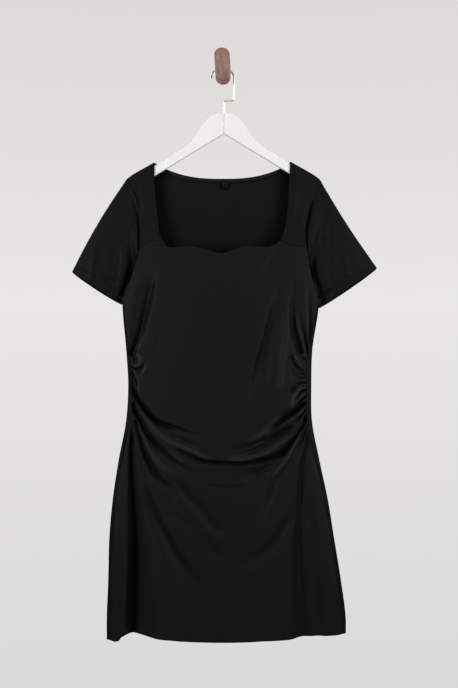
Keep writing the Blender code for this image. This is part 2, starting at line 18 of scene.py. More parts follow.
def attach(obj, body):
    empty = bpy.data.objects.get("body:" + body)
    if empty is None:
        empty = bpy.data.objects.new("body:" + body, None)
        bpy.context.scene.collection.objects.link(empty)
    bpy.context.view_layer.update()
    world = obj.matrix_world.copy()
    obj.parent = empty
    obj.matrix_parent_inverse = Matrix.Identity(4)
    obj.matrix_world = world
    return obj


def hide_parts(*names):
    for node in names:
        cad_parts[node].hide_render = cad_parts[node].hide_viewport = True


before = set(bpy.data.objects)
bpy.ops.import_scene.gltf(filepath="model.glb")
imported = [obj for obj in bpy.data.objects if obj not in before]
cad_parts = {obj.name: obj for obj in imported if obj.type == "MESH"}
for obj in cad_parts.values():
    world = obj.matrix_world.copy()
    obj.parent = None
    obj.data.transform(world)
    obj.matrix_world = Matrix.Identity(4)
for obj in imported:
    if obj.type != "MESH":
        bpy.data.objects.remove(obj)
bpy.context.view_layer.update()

MM = 0.001

# ---------------------------------------------------------------- sizes
HANGER_Y = -24.0
HANGER_THICK = 12.0
CLOTH_ON_HANGER = 8.2
SHOULDER_ROUND = 6.0
UNDERARM_LIFT = 2.2

# The body's x at its left and right side folds, and its y in front, at the folds and behind
Section = namedtuple("Section", "z left right front side back")
BODY = (
    Section(-1160, -232, 247, -66, -27, -7),
    Section(-1110, -232, 247, -65, -27, -7),
    Section(-1030, -229, 237, -62, -27, -7),
    Section(-950, -227, 224, -58, -27, -7),
    Section(-870, -220, 211, -55, -27, -8),
    Section(-790, -208, 194, -53, -26, -8),
    Section(-710, -193, 179, -53, -26, -8),
    Section(-640, -189, 178, -54, -26, -8),
    Section(-570, -193, 180, -55, -26, -8),
    Section(-490, -200, 192, -54, -26, -9),
    Section(-420, -202, 197, -50, -25, -9),
    Section(-360, -205, 203, -44, -24, -10),
    Section(-300, -210, 208, -39, -24, -12),
    Section(-240, -216, 216, -35, -24, -14),
    Section(-180, -222, 222, -33, -24, -15),
)
FRONT_ROUNDNESS, BACK_ROUNDNESS = 1.4, 0.6
SHOULDER_MIDDLE_X, SHOULDER_INNER, SHOULDER_TOP, SHOULDER_SLOPE = 1.0, 136.0, -192.6, 0.56
SHOULDER_BEND_FROM, SHOULDER_BEND = 175.0, 0.008
BACK_NECK_LOW, BACK_NECK_RISE, BACK_NECK_POWER = -225.2, 31.0, 2.6

Armhole = namedtuple("Armhole", "z front back")  # x of the armhole on the front and on the back
ARMHOLE = {
    "left": (
        Armhole(-239, -185, -187),
        Armhole(-284, -168, -173),
        Armhole(-322, -165, -170),
        Armhole(-366, -165, -170),
        Armhole(-406, -177, -180),
        Armhole(-440, -188, -190),
    ),
    "right": (
        Armhole(-244, 192, 193),
        Armhole(-281, 175, 180),
        Armhole(-322, 166, 172),
        Armhole(-364, 168, 173),
        Armhole(-408, 175, 179),
        Armhole(-442, 184, 188),
    ),
}
SHOULDER_X = {"left": -193.0, "right": 196.0}
UNDERARM = {"left": (-202.0, -467.0), "right": (194.5, -470.0)}
STRAP_END_ROW = 3  # of ARMHOLE

Seam = namedtuple("Seam", "z left right")  # x of the side seams
SIDE_SEAM = (
    Seam(-500, -198, 188),
    Seam(-550, -191, 177),
    Seam(-590, -186, 170),
    Seam(-640, -183, 168),
    Seam(-700, -184, 168.5),
    Seam(-750, -194, 177),
    Seam(-830, -209, 197),
    Seam(-950, -222, 219),
    Seam(-1060, -226, 236),
)
SEAM_END = {"left": (-227.5, -1150.0), "right": (242.0, -1138.0)}
NECK_X = {"left": -137.0, "right": 136.0}
NECK_SIDE = {
    "left": ((-135, -250), (-129, -310), (-124.5, -340), (-119, -350.5)),
    "right": ((132, -262), (127.5, -311), (122, -336), (115, -352)),
}
STRAP_SEAM = {
    "left": ((-119, -350.5), (-142, -353.5), (-165, -366)),
    "right": ((115, -352), (138, -360), (168, -364)),
}
FRONT_NECK = (
    (-119, -350.5), (-116, -358), (-63, -363.5), (-33, -369), (-1, -378),
    (23, -369.5), (46, -363.5), (92, -363), (109, -357), (115, -352),
)
FRONT_HEM = (
    (-227.5, -1150), (-213, -1151), (-206, -1149), (-201, -1141), (-190, -1139.5),
    (-120, -1144), (0, -1147), (120, -1144), (242, -1138),
)
BACK_HEM = (
    (-227.5, -1150.5), (-213, -1149), (-200, -1142), (-150, -1141), (0, -1140), (150, -1140), (242, -1138),
)
# (x, z) of the outer and inner ends of a sleeve's hem, how far its top bows up, and how far its front sinks
Sleeve = namedtuple("Sleeve", "tip under bow recess")
SLEEVES = {
    "left": Sleeve((-302.0, -413.0), (-201.4, -478.5), 4.5, 3.0),
    "right": Sleeve((310.0, -405.5), (193.0, -485.5), -3.0, 3.0),
}
SLEEVE_HALF_DEPTH = 12.0
BACK_HEM_DROP = 4.0  # how far the back of a sleeve hem shows under the front
HEM_DROP_OUT, HEM_DROP_DOWN = 0.58, 0.82  # the way it drops: along the sleeve
BINDING_WIDTH, BINDING_HALF_SPAN = 7.0, 122.0
LABEL_MIDDLE, LABEL_SIZE = (5.0, -236.0), (12.0, 16.0)
HANGER_X = 3.0
HANGER_JOINT_GAP = 0.4
HANGER_EDGE_ROUND, PILL_EDGE_ROUND = 3.2, 3.6
ARM_OUTLINE_TOP = (
    (0, -93.1), (10, -94.2), (21, -97.5), (30, -103), (38, -111), (50.6, -131), (59, -143.5),
    (68, -153.6), (84, -165.3), (102.5, -177), (130.6, -195.6), (155, -209.4), (170, -217.6),
)
ARM_OUTLINE_TIP = ((170, -217.6), (178, -223.5), (182.5, -229), (183.5, -236), (180.5, -243))
ARM_OUTLINE_LOW = ((180.5, -243), (173, -241.5), (132, -216.5), (0, -136.3))
WIRE_RADIUS = 1.6
HOOK_RADIUS, HOOK_CENTRE_Z = 22.9, -25.4
HOOK_LEG_BOTTOM, HOOK_BEND, WIRE_FOOT = -69.6, 4.5, -93.2
PILL_WIDTH, PILL_HEIGHT, PILL_THICK = 32.0, 65.0, 12.0
PILL_TILT = math.radians(3.5)
KNOB_FRONT = -46.0
NECK_RADIUS = 9.0
GAP = 0.3  # between pieces that are joined in the real object
NECK_TOP = HOOK_CENTRE_Z + HOOK_RADIUS - WIRE_RADIUS - GAP

# ---------------------------------------------------------------- cloth, seams and hems
CLOTH = 0.8  # thickness of the jersey
# Path of the cloth from the seam allowance inside, round the edge and out: distance from the seam line
# along the cloth, and depth under its surface
SEAM_PATH = (
    (0.48, 7.0), (0.46, 4.5), (0.44, 2.2), (0.44, 0.9), (0.52, 0.28),
    (0.8, 0.02), (1.4, -0.1), (2.6, -0.18), (5.0, -0.16), (7.0, 0.0),
)
STRAP_SEAM_PATH = (
    (0.44, 7.0), (0.43, 4.5), (0.42, 2.2), (0.41, 0.9), (0.42, 0.3),
    (0.55, 0.08), (0.9, 0.0), (1.6, 0.0), (3.0, 0.0), (7.0, 0.0),
)
ROLL = 0.9  # radius of a rolled edge


def bell(off, spread):
    """1 where off is 0, falling away smoothly over the spread."""
    return np.exp(-((off / spread) ** 2))


DENT_STEPS = (-2.2, -1.1, -0.5, 0, 0.5, 1.1, 2.2)  # rows of the dent at a stitch line


def hem_path(turn, lines, dent=0.4, spread=1.0):
    """Path of a turned hem: up inside to turn, round the rolled edge and past the stitch lines."""
    inside = [(d, 2 * ROLL) for d in np.linspace(turn, ROLL, 5)]
    bend = [(ROLL - ROLL * math.sin(a), ROLL + ROLL * math.cos(a)) for a in np.radians((45, 90, 135))]
    outer = sorted({ROLL, 2.5, turn + 3.5} | {line + step for line in lines for step in DENT_STEPS})
    dented = [(d, sum(dent * bell(d - line, spread) for line in lines)) for d in outer]
    return tuple(inside + bend + dented)


# Distances of the stitch lines from the edges
DRESS_HEM_LINES = (9.5, 13.5)
SLEEVE_HEM_LINES = (15.5, 19.5)
BACK_NECK_LINE = 5.6
DRESS_HEM = hem_path(15.5, DRESS_HEM_LINES)
SLEEVE_HEM = hem_path(21.5, SLEEVE_HEM_LINES)
NECK_EDGE = hem_path(9.0, ())
BACK_NECK_EDGE = hem_path(6.8, (BACK_NECK_LINE,))

# ---------------------------------------------------------------- creases
# Each runs along a smooth line through (x, z) points. depth is towards the inside, so a ridge is negative.
# ridge is the height of a soft ridge beside the trough: on the left of travel, or on the right if negative.
# The trough is steep on that side and gentle on the other, or the same on both where the ridge is 0.
# depth and width may be a triple, for the start, middle and end. It fades in and out over the shares start
# and end of its length.
Crease = namedtuple("Crease", "depth ridge width start end points")
FRONT_FORM = (
    # long troughs and ridges inside each edge of the skirt
    Crease((9, 24, 30), -1, (3, 8.5, 12.5), 0.08, 0,
        ((-182, -715), (-182.5, -743), (-184, -775), (-183.5, -806), (-182.5, -850), (-181.5, -890),
         (-180, -930), (-180, -1000), (-182, -1092), (-186, -1165))),
    Crease((3, 11, 16), 0, (10, 20, 24), 0.3, 0,
        ((-171, -800), (-167, -880), (-161, -1000), (-160, -1165))),
    Crease((-3, -4, -5), 0, 8, 0.35, 0,
        ((-206, -840), (-210, -910), (-213, -1000), (-214, -1092), (-215, -1165))),
    Crease((5, 13, 19), 0, (3, 9, 17), 0.05, 0,
        ((170.5, -728), (168.8, -756), (166.4, -768), (163.9, -781), (160.5, -798), (158.9, -814),
         (158, -831), (157, -848), (155.5, -881), (153.5, -910), (152, -945), (154, -1028), (158, -1117),
         (160, -1165))),
    Crease((3, 7, 9), 0, (8, 14, 18), 0.3, 0,
        ((174, -800), (172, -860), (172, -940), (176, -1040), (182, -1165))),
    Crease(6, 0, 11, 0.5, 0, ((184, -965), (189, -1077), (194, -1165))),
    Crease(-3, 0, 10, 0.4, 0, ((205, -900), (214, -960), (222, -1030), (229, -1165))),
    # folds that fade out over the skirt
    Crease((4, 9, 7), 0, (9, 10, 6), 0.25, 0.15,
        ((-108, -819), (-91, -834), (-81, -846), (-71, -857.6), (-59.7, -872.6), (-46, -884), (-38, -897.5),
         (-28, -909), (-18, -919), (-8, -931), (2, -943))),
    Crease((2, 4, 3), 0, 7, 0.3, 0.3,
        ((-122, -850), (-110, -868), (-98, -897), (-78, -912), (-63, -926), (-51, -937))),
    Crease(5, 0.3, 10, 0.4, 0.4, ((-55, -930), (-45, -938), (-20, -963), (5, -983), (25, -993))),
    Crease((3, 3, 4), 0.3, (4, 6, 9), 0.25, 0.35,
        ((-47, -838), (-25, -839), (-5, -842), (18, -844), (38, -841), (55, -832), (72, -822), (90, -808))),
    Crease((4, 9, 7), 0, (8, 11, 15), 0.25, 0.4,
        ((147, -848), (140, -880), (132, -906), (121, -927), (108, -947), (90, -966), (68, -982),
         (40, -996), (10, -1006))),
    Crease(1.8, 0, 16, 0.4, 0, ((62, -1000), (72, -1070), (78, -1165))),
    Crease(1.6, 0.6, 12, 0.4, 0, ((-92, -1010), (-98, -1080), (-101, -1165))),
    # bust
    Crease((4, 15, 13), 0.05, (10, 10, 6), 0.3, 0.02,
        ((-135, -400), (-141, -430), (-146, -450), (-150, -467), (-154, -484), (-157.5, -500), (-162, -520),
         (-166, -538), (-169.5, -550), (-173, -560), (-177.5, -571), (-184, -583))),
    Crease((4, 11, 10), -0.1, (10, 14, 18), 0.35, 0.4,
        ((122, -415), (117, -440), (112, -460), (107, -480), (102, -500), (97.5, -520), (93, -540),
         (88, -560), (82.5, -580), (77, -600), (72, -620), (68, -640), (65, -660), (62, -700))),
    Crease(3, 0, 10, 0.4, 0.4, ((94, -560), (86, -610), (80, -660))),
    Crease((-1.6, -3, -2.8), 0, (8, 9, 8.5), 0.3, 0.15,
        ((131, -440), (131, -490), (129, -525), (125.5, -558), (122, -585), (119.5, -610), (116.5, -635),
         (112.5, -665))),
    Crease((3, 10, 8), 0, (5, 6, 5.5), 0.35, 0.06,
        ((144, -425), (142.5, -450), (141, -472), (140, -490), (140.5, -505), (142.5, -520), (145.5, -536),
         (149.5, -550), (153, -562), (156, -573), (158.5, -583))),
    Crease((3, 4, 4), 0, (4, 5, 4), 0.4, 0.3, ((150, -546), (155, -561), (159, -574), (163, -587))),
    Crease((0.6, 1.4, 1.2), 0, 8, 0.4, 0.3, ((-120, -520), (-128, -560), (-132, -600))),
    Crease(2, 0, 5, 0.05, 0.5, ((107, -364), (102, -381), (92, -399), (84, -417), (70, -448))),
)
BACK_FORM = (
    Crease(6.8, 2.7, (6, 7, 6), 0.05, 0.6, ((-188, -640), (-160, -668), (-120, -692), (-60, -712))),
    Crease(5.1, 2, 6, 0.05, 0.5, ((-190, -690), (-158, -724), (-112, -752), (-66, -768), (-30, -772))),
    Crease(4.1, 1.7, 5, 0.05, 0.6, ((-188, -612), (-166, -628), (-140, -640))),
    Crease(-6.8, -2.7, (6, 7, 6), 0.05, 0.6, ((178, -650), (150, -684), (112, -708), (50, -730))),
    Crease(5.8, -2.4, 6, 0.05, 0.5, ((176, -668), (150, -700), (118, -722), (72, -738))),
    Crease(5.1, -2, 6, 0.05, 0.5, ((178, -704), (150, -742), (110, -770), (58, -786), (12, -788))),
    Crease(3.7, -1.7, 5, 0.05, 0.6, ((178, -610), (158, -628), (130, -642))),
    Crease((5.1, 8.5, 10.2), 3.4, (9, 12, 14), 0.35, 0,
        ((-132, -800), (-136, -900), (-138, -1000), (-142, -1165))),
    Crease((-5.1, -8.5, -10.2), 0, (10, 13, 15), 0.35, 0, ((-96, -820), (-100, -940), (-104, -1165))),
    Crease((3.4, 6.8, 8.5), 2.7, (10, 12, 14), 0.4, 0, ((-28, -860), (-26, -980), (-22, -1165))),
    Crease((5.1, 8.5, 10.2), 3.4, (9, 12, 15), 0.4, 0, ((92, -830), (101, -960), (110, -1165))),
    Crease((-5.1, -6.8, -8.5), 0, (9, 12, 13), 0.4, 0, ((140, -840), (150, -960), (162, -1165))),
    Crease(5.1, 2, (8, 10, 8), 0.35, 0.3, ((-150, -420), (-152, -490), (-166, -570))),
    Crease(4.1, 1.7, (7, 9, 8), 0.35, 0.35, ((-96, -400), (-92, -480), (-104, -560))),
    Crease(5.1, -2, (8, 10, 8), 0.35, 0.3, ((146, -420), (146, -500), (158, -576))),
    Crease(3.4, 1.5, (9, 11, 9), 0.4, 0.4, ((70, -400), (62, -500), (66, -590))),
    Crease(2.7, 1.4, 12, 0.4, 0.4, ((-10, -330), (-14, -440), (-6, -560))),
)
# Swags and gathers of the front panel, from its side seams
GATHERS = {
    "left": (
        Crease((13, 16, 5), 0.6, (3.6, 6.5, 6), 0.06, 0.45,
            ((-179, -642), (-176, -652), (-171.5, -662), (-167.5, -669), (-161, -677), (-155, -686),
             (-146, -697), (-138, -706), (-129.5, -713), (-118, -718), (-104.6, -723), (-88, -728),
             (-71, -734.6), (-58, -738), (-46, -740), (-34, -746))),
        Crease((3, 7, 4), 0, (5, 7, 7), 0.3, 0.3,
            ((-122, -722), (-114, -731), (-98, -740), (-84.6, -748), (-71, -754), (-58, -763),
             (-44, -771))),
        Crease((-1.8, -2.8, -2.2), 0, (3.6, 4.6, 4), 0.12, 0.15,
            ((-172, -680), (-167.7, -690), (-154.4, -706), (-141, -719.6), (-129.5, -733), (-116, -744.6),
             (-104.6, -753), (-91, -757.5), (-76, -763), (-63, -768.7), (-46, -777.8), (-31.4, -784.5),
             (-10, -785.5))),
        Crease((5, 10, 10), 1.8, (5, 4.2, 4), 0.25, 0,
            ((-111, -756), (-98, -763), (-84.6, -771), (-71, -776), (-59.7, -780), (-46, -786),
             (-30, -790.5), (-13, -792.5), (0, -793.5), (20, -795), (40, -795.5))),
        Crease((14, 13, 5), 0.5, (4, 7.5, 8.5), 0.04, 0.45,
            ((-179, -672), (-177.5, -686), (-171.5, -697), (-166, -706), (-161, -716), (-156, -728),
             (-149.5, -738), (-142.8, -746), (-134.5, -756), (-124.5, -766), (-114.5, -774), (-108, -781),
             (-98, -791), (-88, -799.4), (-78, -806), (-63, -814), (-46, -816.5), (-28, -817))),
        Crease(-1.8, 0, 4, 0.3, 0.3,
            ((-119.5, -764), (-109.6, -771), (-98, -778), (-88, -786), (-75, -793))),
        Crease(-2.2, 0, (2.6, 4.2, 5), 0.15, 0.3,
            ((-170, -716), (-167, -724), (-161, -738), (-154.4, -753), (-144.5, -769.5), (-136, -784.5),
             (-128, -794.4), (-118, -803), (-104.6, -813), (-88, -819))),
        Crease((9, 13, 7), 0.3, (2.6, 7.5, 9), 0.04, 0.45,
            ((-175.5, -706), (-173, -716), (-171, -724.6), (-168.6, -734.6), (-164.4, -746), (-160, -759.5),
             (-156, -771), (-151, -784.5), (-146, -796), (-141, -806), (-136, -816), (-129.5, -823),
             (-121, -833), (-111, -841), (-101, -850), (-93, -863), (-84.6, -874), (-74, -884))),
        Crease((4, 11, 13), 0.2, (5, 11, 16), 0.2, 0.4,
            ((-158, -810), (-152.8, -839), (-146, -861), (-138, -886), (-133, -899), (-129, -912),
             (-121, -922.5), (-111, -939), (-97, -965), (-80, -995), (-60, -1023), (-30, -1053),
             (-5, -1077))),
        Crease((-1.2, -2.4, -3.2), 0, (2, 4, 5), 0.3, 0.3,
            ((-158, -530), (-163, -551), (-168, -563), (-173.5, -572), (-176, -577))),
        Crease((-1.6, -3.4, -2), 0, (3.4, 4.6, 3), 0.15, 0.1,
            ((-177, -577), (-171, -580), (-166, -584), (-164.5, -590), (-166.5, -597), (-171, -602),
             (-179, -602.5))),
        Crease(2.8, 0, 1.8, 0.2, 0.1, ((-177, -580), (-176.2, -588), (-176.4, -594), (-178, -599))),
        Crease(2, 0, 1.6, 0.2, 0.2, ((-172.5, -585), (-172.5, -592), (-175, -598))),
        Crease((5, 5, 3), 0, (1.7, 2, 2.2), 0, 0.2,
            ((-182.5, -605), (-178, -607), (-170, -608), (-163, -606), (-159.5, -601), (-158, -595))),
        Crease((3.5, 4.5, 2), 0, (2, 3.4, 2.6), 0.1, 0.2,
            ((-176, -608), (-170, -610), (-167, -614), (-166, -619))),
        Crease((-1.8, -2.6, -2), 0, (2.6, 3.2, 2.6), 0.15, 0.15,
            ((-149.5, -597), (-154, -605), (-157.5, -612), (-161, -618), (-166, -623.5))),
        Crease((-2, -3, -2.6), 0, (1.8, 2.4, 2.8), 0.1, 0.2,
            ((-179, -609.5), (-175, -617), (-171.5, -625), (-168.5, -633), (-167.5, -645), (-167, -653),
             (-164, -662), (-160, -671))),
        Crease((4, 5, 2), 0, 1.7, 0.1, 0.3,
            ((-177.5, -619), (-175.5, -625), (-172, -633), (-170.5, -640), (-170, -648))),
        Crease(-2, 0, 1.8, 0.2, 0.25, ((-179, -626), (-176.5, -636), (-173, -646), (-169.5, -655))),
        Crease((4, 6, 3), 0, 1.7, 0.1, 0.3,
            ((-182, -609), (-180.5, -616), (-180, -630), (-179.5, -645), (-179.5, -668))),
    ),
    "right": (
        Crease((10, 16, 10), -1, (3.8, 5.6, 3.6), 0, 0,
            ((40, -795.5), (60, -794.5), (80, -790.5), (98, -786.5), (111, -782.5), (119.8, -777.8),
             (126.4, -771), (133, -763), (139.7, -754.5), (146.4, -744.6), (153, -734.6), (159.7, -724.6),
             (165, -715), (169, -706))),
        Crease((-2, -2.2, -2.2), 0, (4, 4.4, 2.4), 0.2, 0.1,
            ((-10, -785.5), (15, -786.5), (45, -786.5), (75, -779.5), (96, -769.5), (108, -760),
             (121, -753), (134.7, -745), (148, -733.6), (157, -721), (162, -713))),
        Crease((-2.4, -2.8, -2), 0, (2, 3.2, 3.4), 0.1, 0.15,
            ((163, -727), (157, -736), (151.4, -746), (144.7, -758), (138, -769.5), (129.8, -784.5),
             (121.4, -794.4), (113, -806), (104.8, -816), (96, -826))),
        Crease((5, 7, 2), 0, (2.2, 4, 6), 0, 0.35,
            ((170, -712), (166.4, -729), (162, -739.5), (157.5, -753), (150, -768), (139, -786))),
        Crease((3, 7, 3), 0.3, (7, 7, 9), 0.25, 0.4,
            ((145, -778), (131.4, -798), (121.4, -813), (110, -825), (104.5, -837), (101, -850), (94, -866),
             (85, -886), (72, -914), (60, -932))),
        Crease((4, 9, 3), 0.4, (7, 10, 10), 0.3, 0.5,
            ((118, -785), (106, -793), (93, -801), (76, -811), (58, -820), (38, -829), (16, -836))),
        Crease((10, 9, 4), 0.3, (4, 6.5, 6), 0.15, 0.35,
            ((150, -717), (140, -724), (129.8, -730), (120, -735.5), (111.5, -740), (101.5, -748),
             (88, -755), (76.6, -763), (63, -769.5), (46.6, -773.5), (30, -777), (14, -781))),
        Crease((5, 5, 3), 0.3, (4, 3.6, 4), 0.3, 0.35,
            ((98, -740), (85, -748), (71.6, -753.5), (60, -758), (46.6, -763), (33, -768), (18, -769))),
        Crease((-2.4, -2.2, -1.5), 0, (4, 5, 5), 0.2, 0.3,
            ((128, -694), (116, -703), (104.8, -711), (96.5, -719.6), (88, -729.6), (78, -737), (68, -743),
             (55, -749.5), (41.6, -755))),
        Crease((13, 13, 6), 0.5, (3, 6, 8), 0.03, 0.35,
            ((168, -676), (162, -680), (155, -685.5), (148, -691), (141, -696), (131, -703), (120, -710.5),
             (108, -718.5), (96, -728), (84, -738), (72, -746))),
        Crease(-1.8, 0, 2, 0.2, 0.2, ((166, -687), (158, -694), (149.7, -701), (141, -708), (134.7, -713))),
        Crease((4, 6, 4), 0, (2.2, 3.4, 4), 0.05, 0.3,
            ((168, -690), (162, -695), (156, -703), (149, -711), (139, -718))),
        Crease(-2.4, 0, 2, 0.2, 0.2, ((167, -697), (162, -702), (158, -710), (152, -716))),
        Crease(4, 0, 2.2, 0.1, 0.3, ((169, -700), (163, -706), (158, -714), (150, -722))),
        Crease((-0.5, -1.4, -1.6), 0, (7, 8, 7.5), 0.3, 0.15,
            ((131, -450), (130.5, -490), (128.5, -525), (125, -558), (121.5, -585), (119, -610),
             (116, -635), (112, -662))),
        Crease((2, 4, 4), 0, (2, 2.4, 2), 0.3, 0.1, ((158, -578), (161, -586), (163.5, -592))),
        Crease((-1, -3, -2), 0, (3.6, 3.6, 2.2), 0.3, 0.1,
            ((147, -495), (150, -513), (154, -530), (157.5, -545), (161, -559), (164.5, -573),
             (167.5, -588))),
        Crease((3, 6, 7), 0, (4, 3.2, 2), 0.3, 0.08,
            ((147, -478), (152, -496), (156, -512), (160, -527), (163.5, -541), (166.5, -553),
             (168.3, -565), (169.8, -580))),
        Crease((-1.4, -2, -1.6), 0, 2.6, 0.3, 0.2,
            ((167.5, -425), (168.3, -470), (169.5, -505), (171, -535), (171.7, -555), (171, -569))),
        Crease((2, 4, 5), 0, 2.2, 0.3, 0.05,
            ((174, -440), (175, -475), (176, -505), (175.8, -530), (174.5, -547), (173, -563))),
        Crease((5, 6, 4), 0, (2.4, 2.4, 2), 0.15, 0.1,
            ((136, -579), (138.5, -587), (141.5, -594), (145, -601), (149.5, -606), (155, -609.5),
             (164, -611.5))),
        Crease((-2.2, -2.6, -1.8), 0, (2.6, 2.6, 2), 0.2, 0.1,
            ((142, -578), (146, -586), (150.5, -594), (156, -600), (162, -605.5), (166, -606.5))),
        Crease(3, 0, 4.5, 0.35, 0.35, ((142, -603), (143.5, -612), (144, -620), (146, -628))),
        Crease(3, 0, 1.5, 0.3, 0, ((149, -614), (156, -617), (170, -619))),
        Crease(-1.6, 0, 1.4, 0.4, 0, ((150, -621.5), (158, -622), (170, -622.5))),
        Crease(3.4, 0, 1.6, 0.3, 0, ((148, -628), (156, -626), (170, -626))),
        Crease(-1.6, 0, 1.5, 0.4, 0, ((150, -632), (158, -630.5), (170, -631))),
        Crease(4.5, 0, 1.6, 0.2, 0, ((148, -639), (156, -637), (170, -636.3))),
        Crease(-2, 0, 1.5, 0.3, 0, ((153, -642), (160, -639.5), (170, -640.5))),
        Crease(2.6, 0, 1.3, 0.3, 0, ((157, -643), (170, -643.2))),
        Crease((3, 6, 3), 0, (2.6, 2.8, 2), 0.15, 0.2,
            ((137, -659), (140, -653), (144.5, -647), (150, -641))),
        Crease((-2.2, -3.6, -2), 0, (5.5, 4.4, 2.4), 0.12, 0.05,
            ((136, -688), (138.5, -680), (140, -671), (143, -663), (148, -656), (153, -650), (160, -646),
             (170, -647.5))),
        Crease((3, 6, 6), 0, (2, 2, 1.8), 0.2, 0.05,
            ((146, -675), (147.5, -668), (150, -661), (154, -656), (159, -652), (168, -649.5))),
        Crease(-2.6, 0, 1.9, 0.2, 0.1,
            ((146, -678.5), (150, -673), (154, -668), (159, -662.5), (168, -656.5))),
        Crease((6, 7, 6), 0, 2, 0.2, 0.05, ((147, -683), (152, -677), (157, -671.5), (168, -663))),
        Crease(-1.8, 0, 1.4, 0.3, 0.1, ((155, -677), (160, -672.5), (168, -668))),
        Crease((4, 5, 5), 0, 1.8, 0.05, 0.1,
            ((172, -560), (170, -590), (168.6, -620), (168.4, -660), (168.8, -690), (171, -712))),
    ),
}
# Creases of the straps and sleeves, across the cloth
STRAP_CREASES = {
    "left": (
        Crease(2.4, 0.3, 6, 0.3, 0.4, ((-173, -236), (-168, -262), (-163, -300))),
        Crease(0.8, 0, 5, 0.3, 0.3, ((-146, -262), (-143, -310), (-140, -345))),
    ),
    "right": (
        Crease(1.8, 0.8, 6, 0.2, 0.4, ((164, -222), (159, -250), (150, -300), (146, -336))),
        Crease(-1.2, 0, 5, 0.3, 0.4, ((172, -250), (162, -290), (157, -330))),
        Crease(1, 0.4, 4, 0.3, 0.3, ((142, -230), (139, -275), (135, -320))),
    ),
}
SLEEVE_CREASES = {
    "left": (
        Crease((2, 13, 17), 0, (11, 9, 8), 0.35, 0,
            ((-193, -300), (-190, -330), (-187, -355), (-184, -380), (-184, -400), (-188, -420),
             (-194, -440), (-201, -462), (-204, -478))),
        Crease((3, 4, 5), 0, 9, 0.3, 0.1,
            ((-207, -310), (-207, -350), (-209, -390), (-214, -430), (-220, -462))),
        Crease((3, 7, 7), 0, (3, 3.6, 3), 0.15, 0.1,
            ((-185, -252), (-178, -278), (-171.5, -300), (-168.5, -320), (-166.5, -350), (-167, -378))),
        Crease((-1, -3.2, -3.4), 0, (4, 6, 5), 0.35, 0,
            ((-250, -345), (-256, -378), (-260, -406), (-264, -434))),
        Crease(1.6, 0, 5, 0.3, 0.3, ((-246, -420), (-226, -430), (-206, -440))),
    ),
    "right": (
        Crease((2, 12, 17), 0, (12, 11, 10), 0.3, 0,
            ((203, -262), (202, -310), (196, -345), (188, -372), (183, -396), (184, -418), (190, -440),
             (196, -462), (198, -486))),
        Crease((3, 5, 6), 0, 9, 0.3, 0.1,
            ((206, -300), (203, -350), (202, -400), (206, -440), (212, -474))),
        Crease((3, 7, 7), 0, (3, 3.6, 3), 0.15, 0.1,
            ((191, -242), (184, -264), (177, -288), (172, -308), (169, -328), (167.5, -352),
             (168.5, -378))),
        Crease(-1.6, 0, 6, 0.4, 0.2, ((236, -360), (246, -398), (254, -434))),
    ),
}
SLEEVE_BACK_CREASES = {
    "left": (
        Crease((3, 4, 4), 1.4, 8, 0.3, 0.1, ((-200, -300), (-200, -350), (-204, -400), (-214, -450))),
        Crease(2, 0.8, 7, 0.3, 0.2, ((-228, -310), (-238, -360), (-252, -416))),
    ),
    "right": (
        Crease((3, 4, 4), -1.4, 8, 0.3, 0.1, ((202, -300), (203, -352), (208, -404), (218, -452))),
        Crease(2, -0.8, 7, 0.3, 0.2, ((232, -312), (246, -362), (264, -410))),
    ),
}
SEAM_FADE = 2.2  # millimetres over which gathers begin at the side seams
WALL_CLEARANCE, WALL_SOFT = 1.2, 1.0  # how far the back stays off the wall, and how soft that limit is
BACK_CLEARANCE, CLEARANCE_SOFT = 2.2, 3.0  # how near the front's creases come to the back's middle surface
# How wide a trough is on the side of its ridge and on the other, and how far its core and its ridge are off
# the line, in widths
STEEP_SIDE, GENTLE_SIDE, CORE_AT, RIDGE_AT = 0.4, 1.6, 0.3, 1.3
CREASE_REACH = 4.2  # widths from a crease's line within which it is worked out
HANGER_TAKES_OVER, HANGER_HOLDS = -330, -270  # heights between which the cloth comes to lie on the hanger
HANGER_SOFT = 2.0  # how softly it bends over the hanger
FOLD_EASE = 0.3  # creases fade where the cloth turns this near to the side folds, as a cosine
RADIAN_LENGTH = 100  # millimetres for a radian, so that shares down a line of (angle, z) follow the cloth


# ---------------------------------------------------------------- form
def smooth(at, known, values):
    """A cubic curve through (known, values), with slopes from the neighbours. known rises."""
    known, values = np.asarray(known, float), np.asarray(values, float)
    at = np.clip(at, known[0], known[-1])
    slopes = np.gradient(values, known)
    i = np.clip(np.searchsorted(known, at) - 1, 0, len(known) - 2)
    width = known[i + 1] - known[i]
    t = (at - known[i]) / width
    return (
        values[i] * (1 + 2 * t) * (1 - t) ** 2
        + values[i + 1] * t * t * (3 - 2 * t)
        + width * (slopes[i] * t * (1 - t) ** 2 - slopes[i + 1] * t * t * (1 - t))
    )


def ease(t):
    """0 up to t = 0, 1 from t = 1, smooth between."""
    t = np.clip(t, 0.0, 1.0)
    return t * t * (3 - 2 * t)


def reached(points):
    """Share of the line's length at each of its points."""
    steps = np.linalg.norm(np.diff(np.asarray(points, float), axis=0), axis=1)
    return np.concatenate([[0.0], np.cumsum(steps)]) / steps.sum()


def along(points, t):
    """The points of a smooth line through points, at the shares t of its length."""
    points = np.asarray(points, float)
    return np.stack([smooth(t, reached(points), column) for column in points.T], axis=-1)


def section(z):
    """Centre, half width, front, side and back of the body at the heights z."""
    heights, left, right, front, side, back = zip(*BODY)
    left, right = smooth(z, heights, left), smooth(z, heights, right)
    front, side, back = (smooth(z, heights, column) for column in (front, side, back))
    return (left + right) / 2, (right - left) / 2, front, side, back


